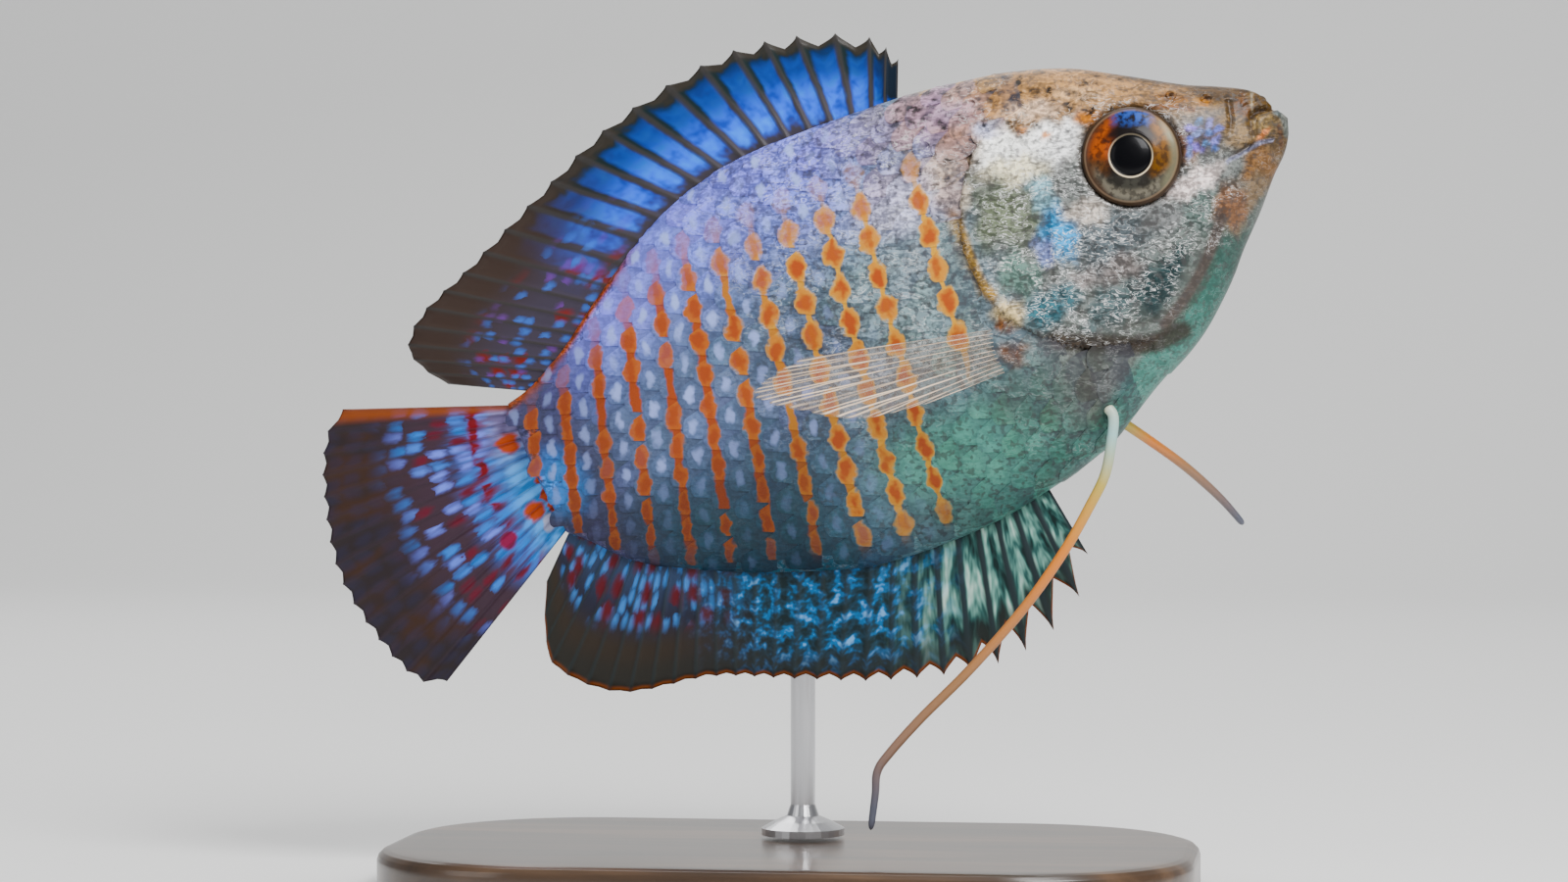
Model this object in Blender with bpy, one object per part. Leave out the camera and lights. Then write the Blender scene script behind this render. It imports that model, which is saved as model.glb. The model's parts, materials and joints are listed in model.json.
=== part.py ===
"""Dwarf gourami, a still, life-size model of an adult male, held by a plain display stand.

Metres, +Z up. The head points to +X and the right flank to -Y. The origin is under the middle of
the stand's base. The fish is drawn level in its own frame and then pitched nose up by an empty.
In that frame a point has three sizes in millimetres: a, its distance behind the snout; h, its height
above the line from the snout to the middle of the tail's root; and y, its distance to the left.
"""
import math

import bmesh
import bpy
from mathutils import Matrix, Vector

MM = 0.001
GAP = 0.3

# Whole fish
BODY_LENGTH = 60.2
NOSE_UP_DEG = 25.0
TAIL_BEND = 2.0
BEND_FROM = 20.0

# Outlines of the body without its fins: (a, h) along the back and the belly, (a, half width),
# and (a, h) of the widest line of the flank.
BACK = [(0.65, 0.1), (1.2, 1.15), (1.55, 2.05), (2.25, 2.85), (4.0, 3.95), (6.1, 5.1), (9.5, 7.4),
        (13.0, 9.65), (17.0, 11.25), (21.0, 12.25), (25.0, 13.0), (35.5, 14.0), (40.0, 13.7), (44.5, 12.5),
        (50.4, 9.55), (55.0, 6.9), (58.0, 5.7), (60.2, 5.3)]
BELLY = [(0.65, -0.6), (1.0, -1.45), (1.8, -2.5), (3.1, -3.6), (5.2, -5.65), (9.1, -8.95), (12.6, -11.6),
         (17.0, -13.7), (21.6, -15.95), (26.4, -16.97), (32.0, -17.5), (39.8, -16.8), (45.1, -15.0),
         (50.3, -12.6), (56.2, -9.1), (59.0, -6.0), (60.2, -4.9)]
HALF_WIDTH = [(0.65, 0.5), (1.3, 1.0), (4.0, 2.4), (8.0, 3.75), (11.0, 4.35), (15.0, 4.9), (20.0, 5.3),
              (26.0, 5.4), (31.0, 5.15), (37.0, 4.5), (43.0, 3.7), (49.0, 2.8), (55.0, 1.9), (60.2, 1.15)]
WIDEST = [(0.65, -0.25), (2.0, 0.1), (6.0, 0.3), (12.0, -0.4), (20.0, -2.2), (28.0, -3.3), (40.0, -2.2),
          (50.0, -0.8), (60.2, 0.2)]
PINCH_TOP = [(0.65, 0.85), (10.0, 0.8), (20.0, 1.0), (30.0, 1.25), (60.2, 1.2)]
PINCH_BOTTOM = [(0.65, 0.85), (10.0, 0.9), (20.0, 0.95), (28.0, 1.1), (36.0, 1.25), (60.2, 1.25)]
RIDGE_HALF_WIDTH = 0.4
BODY_STATIONS = 29
STATION_GROWTH = 1.25
FLANK_STEPS = 9

# Where the body is parted: a point (a, h) of each cut and the direction (a, h) that it faces
NECK_CUT = ((17.4, 0.6), (0.968, -0.25))
TAIL_CUT = ((54.5, 0.0), (1.0, 0.0))

# Eyes
EYE_CENTRE = (11.42, 1.75)
EYE_RADIUS = 3.5
EYE_SINK = 2.0
CORNEA_HEIGHT = 0.9
EYE_LOOK = (0.10, 1.0, 0.10)
EYE_STEPS = 22

# Mouth: the upturned line between the lips from the front to the corner, as (a, h, half gape)
MOUTH_LINE = [(1.25, 0.7, 0.0), (1.75, 0.95, 0.75), (2.55, 0.95, 1.25), (3.2, -0.1, 1.6), (4.6, -0.95, 2.15)]
LIP_RADIUS = 0.5
LIP_CORNER_RADIUS = 0.3
UPPER_LIP_RISE = (0.56, 0.9)
LOWER_LIP_DROP = (-0.12, -0.72)
LIP_SIDES = 8
MOUTH_SLIT = 0.3
MOUTH_DEPTH = 0.7

# Nostrils, (a, h) on each side, with the radius of the pit and of the rim round it
NOSTRILS = [((5.1, 3.3), 0.25, 0.5), ((7.2, 4.55), 0.3, 0.5)]
NOSTRIL_RISE = 0.3
NOSTRIL_SINK = 0.7
NOSTRIL_SIDES = 8

# Gill cover with the cheek: its inner edge round the eye and its free edge, both from cheek to nape
GILL_INNER = [(7.6, -4.9), (9.8, -3.8), (12.7, -3.2), (15.0, -1.4), (16.0, 1.7), (16.7, 4.9), (18.0, 7.3)]
GILL_OUTER = [(8.0, -5.9), (9.8, -7.8), (12.6, -9.6), (15.7, -10.4), (19.4, -9.2), (22.6, -6.8),
              (24.4, -3.7), (24.8, 0.1), (23.5, 3.9), (21.4, 6.6), (19.4, 8.0)]
GILL_THICKNESS = 0.9
GILL_STAND_OFF = 0.2
GILL_COLUMNS = 14
GILL_ROWS = 4

# Fins. Rays are spread evenly by number; each list runs from the first ray to the last.
# A base list gives (share, a) on the back or belly, a tip list gives (share, a, h).
MEMBRANE = 0.25
FIN_ROWS = 4
DORSAL_SPINES = 16
DORSAL_RAYS = 8
DORSAL_BASE = [(0.0, 25.2), (0.1, 27.6), (0.3, 34.6), (0.5, 42.6), (0.68, 50.0), (1.0, 57.4)]
DORSAL_TIP = [(0.0, 23.6, 15.4), (0.09, 24.9, 17.8), (0.17, 29.3, 20.0), (0.28, 35.2, 21.2),
              (0.42, 44.3, 20.3), (0.55, 51.8, 17.9), (0.68, 58.4, 15.6), (0.8, 63.4, 14.0),
              (0.88, 65.4, 12.2), (0.95, 64.9, 10.2), (1.0, 63.8, 8.6)]
DORSAL_NOTCH = [(0.0, 0.2), (0.15, 0.13), (0.35, 0.06), (0.68, 0.03), (1.0, 0.015)]
ANAL_SPINES = 17
ANAL_RAYS = 11
ANAL_BASE = [(0.0, 26.8), (0.15, 32.4), (0.3, 38.9), (0.6, 51.0), (1.0, 59.4)]
ANAL_TIP = [(0.0, 26.2, -22.2), (0.04, 28.2, -24.8), (0.08, 31.1, -26.2), (0.15, 35.4, -26.6),
            (0.3, 43.0, -24.4), (0.45, 49.4, -21.4), (0.6, 54.6, -18.9), (0.76, 61.4, -17.1),
            (0.88, 65.0, -13.4), (0.95, 64.4, -10.4), (1.0, 62.9, -7.6)]
ANAL_NOTCH = [(0.0, 0.34), (0.12, 0.26), (0.2, 0.12), (0.35, 0.06), (0.7, 0.015), (1.0, 0.01)]
TAIL_RAYS = 15
TAIL_BASE = (4.9, -4.6)
TAIL_TIP = [(0.0, 71.6, 10.2), (0.08, 73.6, 9.0), (0.25, 75.6, 5.4), (0.5, 77.2, -0.6),
            (0.75, 76.4, -6.6), (0.92, 74.9, -10.2), (1.0, 73.0, -11.1)]
TAIL_ROWS = 6
PECTORAL_RAYS = 10
PECTORAL_BASE = [(0.0, 25.3, -5.2), (0.5, 25.7, -6.7), (1.0, 25.9, -8.2)]
PECTORAL_TIP = [(0.0, 38.2, -1.3), (0.2, 41.6, -1.7), (0.36, 42.3, -2.5), (0.6, 39.4, -4.9),
                (0.8, 35.9, -7.0), (1.0, 31.2, -8.0)]
PECTORAL_STAND_OFF = 2.6
RAY_NOTCH = 0.015

# Pelvic feelers: the route of each as (a, h, distance from the middle plane), root first
FEELER_ROOT = (20.6, -13.3)
RIGHT_FEELER = [(20.3, -14.2, 3.1), (21.2, -15.8, 3.3), (22.5, -17.6, 3.6), (24.3, -19.1, 4.0),
                (27.2, -21.2, 4.6), (31.3, -23.6, 5.5), (36.4, -25.9, 6.6), (41.0, -27.6, 7.4),
                (44.0, -28.9, 7.9), (45.3, -29.7, 8.1), (46.1, -31.1, 8.3), (47.4, -33.2, 8.6)]
LEFT_FEELER = [(20.8, -13.7, 3.2), (20.1, -15.0, 4.3), (19.2, -16.7, 6.4), (18.1, -18.9, 9.0),
               (17.3, -20.9, 11.6), (16.6, -23.0, 13.8), (16.1, -25.1, 15.6)]
FEELER_RADIUS = (0.48, 0.42, 0.3)
FEELER_SIDES = 8
FEELER_STEP = 1.3
FEELER_PARTING = 0.5

# Display stand
BASE_LENGTH = 58.0
BASE_WIDTH = 34.0
BASE_HEIGHT = 3.0
BASE_BEVEL = 0.8
BASE_CORNER = 13.0
BASE_CORNER_STEPS = 7
ROD_RADIUS = 0.9
ROD_FOOT_RADIUS = 3.0
ROD_FOOT_HEIGHT = 1.0
ROD_BEHIND_SNOUT = 35.2
ROD_TO_LEFT = 3.5
ROD_TOP = (44.0, -7.0)
ROD_STEPS = 32
SNOUT_PLACE = (35.591, 55.0)


def curve_value(points, x, item=1):
    """Value number item at x of the smooth curve through the points, whose first value is x."""
    if x <= points[0][0]:
        return points[0][item]
    if x >= points[-1][0]:
        return points[-1][item]
    k = max(i for i in range(len(points) - 1) if points[i][0] <= x)

    def slope(i):
        lo, hi = max(i - 1, 0), min(i + 1, len(points) - 1)
        return (points[hi][item] - points[lo][item]) / (points[hi][0] - points[lo][0])

    x0, x1 = points[k][0], points[k + 1][0]
    y0, y1 = points[k][item], points[k + 1][item]
    span = x1 - x0
    t = (x - x0) / span
    return (y0 * (1 + 2 * t) * (1 - t) ** 2 + y1 * t * t * (3 - 2 * t)
            + slope(k) * span * t * (1 - t) ** 2 - slope(k + 1) * span * t * t * (1 - t))


def path_point(points, share):
    """Point at a share, from 0 to 1, of the smooth path through points that are evenly numbered."""
    numbered = [(i / (len(points) - 1), *point) for i, point in enumerate(points)]
    return tuple(curve_value(numbered, share, item) for item in range(1, len(points[0]) + 1))


def mix(low, high, share):
    return low + (high - low) * share


def bend(a):
    """How far the middle plane has swung to the left at a: the tail curls gently away."""
    return TAIL_BEND * (max(a - BEND_FROM, 0.0) / (BODY_LENGTH - BEND_FROM)) ** 2


def spot(a, h, y):
    """A point of the fish in its own frame, in metres."""
    return Vector((-a, y + bend(a), h)) * MM


def flank(a, h, grow=0.0):
    """Half width of the body at (a, h), with the whole body grown by grow."""
    middle = curve_value(WIDEST, a)
    top = curve_value(BACK, a) + grow
    bottom = curve_value(BELLY, a) - grow
    edge, pinch = (top, PINCH_TOP) if h > middle else (bottom, PINCH_BOTTOM)
    share = min(abs((h - middle) / (edge - middle)), 1.0)
    wide = curve_value(HALF_WIDTH, a) + grow
    ridge = RIDGE_HALF_WIDTH + grow
    return ridge + (wide - ridge) * math.sqrt(1 - share * share) ** curve_value(pinch, a)


def body_ring(a, grow=0.0):
    """Points of the body's section at a: down the right flank and up the left."""
    middle = curve_value(WIDEST, a)
    top = curve_value(BACK, a) + grow
    bottom = curve_value(BELLY, a) - grow
    wide = curve_value(HALF_WIDTH, a) + grow
    ridge = min(RIDGE_HALF_WIDTH + grow, wide)
    side = []
    for i in range(FLANK_STEPS + 1):
        angle = math.pi * i / FLANK_STEPS
        edge, pinch = (top, PINCH_TOP) if angle < math.pi / 2 else (bottom, PINCH_BOTTOM)
        h = middle + abs(edge - middle) * math.cos(angle)
        out = ridge + (wide - ridge) * abs(math.sin(angle)) ** curve_value(pinch, a)
        side.append((h, out))
    return [spot(a, h, -out) for h, out in side] + [spot(a, h, out) for h, out in reversed(side)]


def loft(rings, first_pole, last_pole):
    """Closed surface through rings of equal length, closed by a fan to a pole at each end."""
    bm = bmesh.new()
    loops = [[bm.verts.new(point) for point in ring] for ring in rings]
    count = len(loops[0])
    for near, far in zip(loops, loops[1:]):
        for i in range(count):
            j = (i + 1) % count
            bm.faces.new((near[i], near[j], far[j]))
            bm.faces.new((near[i], far[j], far[i]))
    for loop, pole in ((loops[0], first_pole), (loops[-1], last_pole)):
        middle = bm.verts.new(pole)
        for i in range(count):
            bm.faces.new((loop[i], loop[(i + 1) % count], middle))
    bmesh.ops.recalc_face_normals(bm, faces=bm.faces)
    return bm


def tube(points, radii, sides, squash=1.0):
    """Closed round tube along points in metres, with a radius in millimetres at each point."""
    rings = []
    for i, point in enumerate(points):
        ahead = points[min(i + 1, len(points) - 1)] - points[max(i - 1, 0)]
        turn = ahead.to_track_quat("Z", "Y")
        ring = []
        for k in range(sides):
            angle = 2 * math.pi * k / sides
            across = Vector((math.cos(angle) * squash, math.sin(angle), 0)) * radii[i] * MM
            ring.append(point + turn @ across)
        rings.append(ring)
    return loft(rings, points[0], points[-1])


def turned(profile, steps, place):
    """Closed turned solid from (radius, height) pairs in millimetres that start and end on the axis."""
    rings = []
    for radius, height in profile[1:-1]:
        ring = []
        for k in range(steps):
            angle = 2 * math.pi * k / steps
            ring.append(place @ (Vector((radius * math.cos(angle), radius * math.sin(angle), height)) * MM))
        rings.append(ring)
    ends = [place @ (Vector((0, 0, height)) * MM) for _, height in (profile[0], profile[-1])]
    return loft(rings, *ends)


def sheet(columns):
    """Closed thin solid from columns of (a, h, y, half thickness): its two faces are split alike."""
    bm = bmesh.new()
    faces = []
    for side in (-1, 1):
        faces.append([[bm.verts.new(spot(a, h, y + side * half)) for a, h, y, half in column]
                      for column in columns])
    right, left = faces
    last_column, last_row = len(columns) - 1, len(columns[0]) - 1

    def quad(a, b, c, d):
        bm.faces.new((a, b, c))
        bm.faces.new((a, c, d))

    for grid in faces:
        for i in range(last_column):
            for j in range(last_row):
                quad(grid[i][j], grid[i + 1][j], grid[i + 1][j + 1], grid[i][j + 1])
    for i in range(last_column):
        for j in (0, last_row):
            quad(right[i][j], right[i + 1][j], left[i + 1][j], left[i][j])
    for j in range(last_row):
        for i in (0, last_column):
            quad(right[i][j], right[i][j + 1], left[i][j + 1], left[i][j])
    bmesh.ops.recalc_face_normals(bm, faces=bm.faces)
    return bm


def material(name, colour, roughness, metallic=0.0):
    made = bpy.data.materials.new(name)
    made.use_nodes = True
    shader = made.node_tree.nodes["Principled BSDF"]
    shader.inputs["Base Color"].default_value = (*colour, 1.0)
    shader.inputs["Roughness"].default_value = roughness
    shader.inputs["Metallic"].default_value = metallic
    return made


def node(name, bm, finish, parent):
    """Makes the named object of a finished bmesh."""
    mesh = bpy.data.meshes.new(name)
    bm.to_mesh(mesh)
    bm.free()
    mesh.shade_smooth()
    mesh.set_sharp_from_angle(angle=math.radians(40))
    if finish:
        mesh.materials.append(finish)
    made = bpy.data.objects.new(name, mesh)
    bpy.context.scene.collection.objects.link(made)
    made.parent = parent
    return made


def combine(target, pieces, operation):
    """Joins closed pieces to the target, or cuts them away, and keeps its largest closed surface."""
    group = bpy.data.collections.new(target.name + "_pieces")
    bpy.context.scene.collection.children.link(group)
    for piece in pieces:
        bpy.context.scene.collection.objects.unlink(piece)
        group.objects.link(piece)
    modifier = target.modifiers.new(operation, "BOOLEAN")
    modifier.operation = operation
    modifier.operand_type = "COLLECTION"
    modifier.collection = group
    bpy.context.view_layer.update()
    graph = bpy.context.evaluated_depsgraph_get()
    result = bpy.data.meshes.new_from_object(target.evaluated_get(graph))
    target.modifiers.clear()
    finish = target.data.materials[0]
    target.data = result
    result.materials.clear()
    result.materials.append(finish)
    for piece in list(group.objects):
        bpy.data.objects.remove(piece)
    bpy.data.collections.remove(group)
    keep_largest(result)


def keep_largest(mesh):
    """Leaves only the largest closed surface of a mesh, as triangles."""
    bm = bmesh.new()
    bm.from_mesh(mesh)
    bmesh.ops.triangulate(bm, faces=bm.faces)
    islands = []
    waiting = set(bm.verts)
    while waiting:
        island = {waiting.pop()}
        edge = list(island)
        while edge:
            near = [e.other_vert(v) for v in edge for e in v.link_edges]
            edge = list(set(near) - island)
            island.update(edge)
        waiting -= island
        islands.append(island)
    largest = max(islands, key=lambda island: sum(
        face.calc_area() for face in bm.faces if face.verts[0] in island))
    scraps = [v for v in bm.verts if v not in largest]
    bmesh.ops.delete(bm, geom=scraps, context="VERTS")
    bm.to_mesh(mesh)
    bm.free()


def whole_body(grow=0.0):
    """The body from the lips to the tail's root, in one closed surface."""
    first, last = BACK[0][0], BODY_LENGTH
    stations = [mix(first, last, (i / BODY_STATIONS) ** STATION_GROWTH) for i in range(BODY_STATIONS + 1)]
    rings = [body_ring(a, grow) for a in stations]
    front = spot(first - 0.15 - grow, curve_value(WIDEST, first), 0)
    back_end = [point + Vector((-grow * MM, 0, 0)) for point in rings[-1]]
    rings[-1] = back_end
    end = spot(last + grow, 0.2, 0)
    return loft(rings, front, end)


def part_of_body(cuts):
    """The body between cuts, each a point and a direction (a, h) that leads out of the wanted part."""
    bm = whole_body()
    for (a, h), (out_a, out_h) in cuts:
        shift = GAP / 2
        point = Vector((-(a - shift * out_a), 0, h - shift * out_h)) * MM
        geometry = bm.verts[:] + bm.edges[:] + bm.faces[:]
        done = bmesh.ops.bisect_plane(bm, geom=geometry, plane_co=point, plane_no=(-out_a, 0, out_h),
                                      clear_outer=True, dist=1e-7)
        rim = [item for item in done["geom_cut"] if isinstance(item, bmesh.types.BMEdge)]
        bmesh.ops.edgeloop_fill(bm, edges=rim)
    bmesh.ops.triangulate(bm, faces=bm.faces)
    bmesh.ops.recalc_face_normals(bm, faces=bm.faces)
    return bm


def outward(a, h, side):
    """Unit normal of the flank at (a, h), for side -1 on the right and 1 on the left."""
    step = 0.2
    along = (flank(a + step, h) - flank(a - step, h)) / (2 * step)
    upward = (flank(a, h + step) - flank(a, h - step)) / (2 * step)
    return Vector((along, side, -upward)).normalized()


def facing(point, direction):
    """Matrix that puts a turned solid at a point in metres with its axis along a direction."""
    return Matrix.Translation(point) @ direction.to_track_quat("Z", "Y").to_matrix().to_4x4()


def eye_place(side):
    a, h = EYE_CENTRE
    look = Vector((EYE_LOOK[0], EYE_LOOK[1] * side, EYE_LOOK[2])).normalized()
    return facing(spot(a, h, side * flank(a, h)), look)


def eye_profile(grow=0.0):
    """Section of the eyeball: a flat-backed disc under the domed cornea, grown for its socket."""
    r = EYE_RADIUS + grow
    back, dome = -EYE_SINK - grow, CORNEA_HEIGHT + 2 * grow
    profile = [(0, back), (r * 0.7, back), (r, back + 0.8), (r, -0.25)]
    for share in (0.22, 0.45, 0.7):
        angle = math.pi / 2 * share
        profile.append((r * math.cos(angle), dome * math.sin(angle)))
    return profile + [(0, dome)]


def lip(rise):
    """Swollen lip on one side of the mouth line, from corner to corner round the snout."""
    lift_a, lift_h = rise
    steps = 7
    right = [path_point(MOUTH_LINE, i / steps) for i in range(steps, -1, -1)]
    points, radii = [], []
    for sign, route in ((-1, right), (1, right[-2::-1])):
        for i, (a, h, gape) in enumerate(route):
            corner = i / steps if sign < 0 else 1 - (i + 1) / steps
            points.append(spot(a + lift_a, h + lift_h, sign * gape))
            radii.append(mix(LIP_CORNER_RADIUS, LIP_RADIUS, min(1.0, 2.2 * corner)))
    return tube(points, radii, LIP_SIDES)


def mouth_slit():
    """Thin curved blade that cuts the line of the mouth between the lips."""
    steps = 8
    rings = []
    for i in range(-steps, steps + 1):
        a, h, gape = path_point(MOUTH_LINE, abs(i) / steps)
        sign = 1 if i > 0 else -1
        turn = abs(i) / steps * math.pi / 2.4
        away = Vector((math.cos(turn), sign * math.sin(turn), 0))
        middle = spot(a, h, sign * gape)
        inner, outer = middle - away * MOUTH_DEPTH * MM, middle + away * MM
        half = Vector((0, 0, MOUTH_SLIT / 2)) * MM
        rings.append([inner - half, outer - half, outer + half, inner + half])
    ends = [sum(ring, Vector()) / len(ring) for ring in (rings[0], rings[-1])]
    return loft(rings, *ends)


def nostril(spec, side, radius, top, bottom):
    a, h = spec[0]
    place = facing(spot(a, h, side * flank(a, h)), outward(a, h, side))
    profile = [(0, bottom), (radius, bottom), (radius, top - 0.1), (radius * 0.8, top), (0, top)]
    return turned(profile, NOSTRIL_SIDES, place)


def gill_plate(side, margin=0.0, outside=None):
    """Curved plate of the gill cover and cheek; with a margin it is the cutter of its recess."""
    columns = []
    for i in range(GILL_COLUMNS + 1):
        share = i / GILL_COLUMNS
        inner = Vector(path_point(GILL_INNER, share))
        outer = Vector(path_point(GILL_OUTER, share))
        across = (outer - inner).normalized()
        inner, outer = inner - across * margin, outer + across * margin
        columns.append([inner, outer])
    for end, near in ((0, 1), (-1, -2)):
        for k in (0, 1):
            columns[end][k] += (columns[end][k] - columns[near][k]).normalized() * margin
    grid = []
    for inner, outer in columns:
        column = []
        for j in range(GILL_ROWS + 1):
            v = j / GILL_ROWS
            a, h = inner.lerp(outer, v)
            top = outside if outside is not None else GILL_STAND_OFF * v
            top_y = flank(a, h) + top
            low_y = flank(a, h) - GILL_THICKNESS - margin
            column.append((a, h, side * (top_y + low_y) / 2, (top_y - low_y) / 2))
        grid.append(column)
    return sheet(grid)


def column_of(base, end, sway, half_base, half_end, rows):
    """Rows of a fin column from its base to its end; its thickness runs from half_base to half_end."""
    column = []
    for j in range(rows + 1):
        v = j / rows
        root = 0.15 * max(0.0, 1 - 4 * v)
        column.append((mix(base[0], end[0], v), mix(base[1], end[1], v), sway * v * v,
                       mix(half_base, half_end, v) + root))
    return column


def fan(count, base, tip, notch, ridge, sway, rows=FIN_ROWS):
    """Columns of a fin: each ray is a raised ridge between two flanks, with membrane between rays.

    base and tip give a point (a, h) for a share from 0 to 1, notch the share of a ray's length by
    which the membrane falls short of its tip, ridge the ray's half width and its half thickness.
    """
    wide, thick = ridge
    columns = []
    ends = []
    for i in range(count):
        share = i / (count - 1)
        root, end = Vector(base(share)), Vector(tip(share))
        ray = end - root
        over = (Vector(base(min(share + 0.01, 1.0))) - Vector(base(max(share - 0.01, 0.0)))).normalized()
        across = over - ray.normalized() * over.dot(ray.normalized())
        across = across.normalized() * wide * 0.45
        step = wide / (Vector(base(min(share + 0.005, 1.0))) - Vector(base(max(share - 0.005, 0.0)))).length
        step *= 0.01 if 0.0 < share < 1.0 else 0.005
        before = Vector(base(max(share - step, 0.0))) - over * (wide if share == 0.0 else 0.0)
        after = Vector(base(min(share + step, 1.0))) + over * (wide if share == 1.0 else 0.0)
        front_end = end - ray * notch(share) - across
        rear_end = end - ray * notch(share) * 0.45 + across
        ends.append((before, front_end, root, end, after, rear_end, share))
    for i, (before, front_end, root, end, after, rear_end, share) in enumerate(ends):
        lean = sway(share)
        columns.append(column_of(before, front_end, lean, MEMBRANE, MEMBRANE, rows))
        columns.append(column_of(root, end, lean, thick, MEMBRANE, rows))
        columns.append(column_of(after, rear_end, lean, MEMBRANE, MEMBRANE, rows))
        if i + 1 < len(ends):
            following = ends[i + 1]
            middle = (after + following[0]) / 2
            margin = rear_end * 0.45 + following[1] * 0.55
            columns.append(column_of(middle, margin, sway((share + following[6]) / 2),
                                     MEMBRANE, MEMBRANE, rows))
    return columns


def edge_fin(name, finish, parent, base_list, tip_list, notches, count, outline, side, sway):
    """A fin of count spines and rays that grows from the back (side 1) or the belly (side -1)."""

    def base(share):
        a = curve_value(base_list, share)
        return a, curve_value(outline, a) + side * GAP

    def tip(share):
        return curve_value(tip_list, share), curve_value(tip_list, share, 2)

    columns = fan(count, base, tip, lambda share: curve_value(notches, share), (0.24, 0.42), sway)
    return node(name, sheet(columns), finish, parent)


def tail_fin(finish, parent):
    def base(share):
        return BODY_LENGTH + GAP, mix(*TAIL_BASE, share)

    def tip(share):
        return curve_value(TAIL_TIP, share), curve_value(TAIL_TIP, share, 2)

    columns = fan(TAIL_RAYS, base, tip, lambda share: RAY_NOTCH, (0.2, 0.42), lambda share: 0.0, TAIL_ROWS)
    return node("tail_fin", sheet(columns), finish, parent)


def pectoral_fin(name, side, finish, parent):
    """Fan of rays that leaves the flank behind the gill cover and stands off towards its tip."""
    def base(share):
        return curve_value(PECTORAL_BASE, share), curve_value(PECTORAL_BASE, share, 2)

    def tip(share):
        return curve_value(PECTORAL_TIP, share), curve_value(PECTORAL_TIP, share, 2)

    flat = fan(PECTORAL_RAYS, base, tip, lambda share: RAY_NOTCH, (0.11, 0.38), lambda share: 0.0)
    columns = []
    for column in flat:
        rows = []
        for j, (a, h, _, half) in enumerate(column):
            v = j / (len(column) - 1)
            out = flank(a, h) + GAP + 0.45 + PECTORAL_STAND_OFF * v ** 1.3
            rows.append((a, h, side * out, half))
        columns.append(rows)
    return node(name, sheet(columns), finish, parent)


def feeler(name, route, side, finish, parent):
    """Long thread-like pelvic fin in two lengths, whose root is cut to the chest that it grows from."""
    inside = (*FEELER_ROOT, flank(*FEELER_ROOT) - 1.2)
    knots = [inside, *route]
    reach = [0.0]
    for one, two in zip(knots, knots[1:]):
        reach.append(reach[-1] + math.dist(one, two))
    along = [(run, *knot) for run, knot in zip(reach, knots)]

    def point(run):
        a, h, out = (curve_value(along, run, item) for item in (1, 2, 3))
        return spot(a, h, side * out)

    def radius(run):
        share = run / reach[-1]
        root, middle, end = FEELER_RADIUS
        return mix(root, middle, share * 2) if share < 0.5 else mix(middle, end, share * 2 - 1)

    parting = reach[-1] * FEELER_PARTING
    lengths = ((name + "_root", 0.0, parting - GAP / 2), (name + "_tip", parting + GAP / 2, reach[-1]))
    made = []
    for label, start, stop in lengths:
        steps = max(4, round((stop - start) / FEELER_STEP))
        runs = [mix(start, stop, i / steps) for i in range(steps + 1)]
        bm = tube([point(run) for run in runs], [radius(run) for run in runs], FEELER_SIDES)
        made.append(node(label, bm, finish, parent))
    combine(made[0], [node("clear_of_chest", whole_body(GAP), None, parent)], "DIFFERENCE")
    return made


def stand_base(finish):
    """Flat plate with round corners and a bevelled top edge."""
    bm = bmesh.new()
    corner = BASE_CORNER
    outline = []
    for quarter in range(4):
        sign_x = 1 if quarter in (0, 3) else -1
        sign_y = 1 if quarter in (0, 1) else -1
        centre = (sign_x * (BASE_LENGTH / 2 - corner), sign_y * (BASE_WIDTH / 2 - corner))
        for k in range(BASE_CORNER_STEPS + 1):
            angle = math.pi / 2 * (quarter + k / BASE_CORNER_STEPS)
            x = centre[0] + corner * math.cos(angle)
            y = centre[1] + corner * math.sin(angle)
            outline.append((x, y))
    loop = [bm.verts.new(Vector((x, y, 0)) * MM) for x, y in outline]
    face = bm.faces.new(loop)
    wall = bmesh.ops.extrude_face_region(bm, geom=[face])
    raised = [item for item in wall["geom"] if isinstance(item, bmesh.types.BMVert)]
    bmesh.ops.translate(bm, verts=raised, vec=Vector((0, 0, BASE_HEIGHT * MM)))
    top = BASE_HEIGHT * MM
    rim = [edge for edge in bm.edges if all(abs(v.co.z - top) < 1e-6 for v in edge.verts)]
    bmesh.ops.bevel(bm, geom=rim, offset=BASE_BEVEL * MM, segments=2, profile=0.6, affect="EDGES")
    bmesh.ops.recalc_face_normals(bm, faces=bm.faces)
    return node("stand_base", bm, finish, None)


def stand_rod(finish, fish):
    """Turned rod with a round foot; its top is cut to lie against the lower left flank."""
    x = SNOUT_PLACE[0] - ROD_BEHIND_SNOUT
    pitch = math.radians(NOSE_UP_DEG)
    top = SNOUT_PLACE[1] - ROD_TOP[0] * math.sin(pitch) + ROD_TOP[1] * math.cos(pitch)
    bottom = BASE_HEIGHT + GAP
    profile = [(0, bottom), (ROD_FOOT_RADIUS, bottom), (ROD_FOOT_RADIUS, bottom + 0.5 * ROD_FOOT_HEIGHT),
               (ROD_FOOT_RADIUS * 0.7, bottom + ROD_FOOT_HEIGHT),
               (ROD_RADIUS * 1.3, bottom + 1.4 * ROD_FOOT_HEIGHT),
               (ROD_RADIUS, bottom + 2.2 * ROD_FOOT_HEIGHT), (ROD_RADIUS, top), (0, top)]
    place = Matrix.Translation(Vector((x, ROD_TO_LEFT, 0)) * MM)
    rod = node("stand_rod", turned(profile, ROD_STEPS, place), finish, None)
    combine(rod, [node("clear_of_flank", whole_body(GAP), None, fish)], "DIFFERENCE")
    return rod


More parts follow.
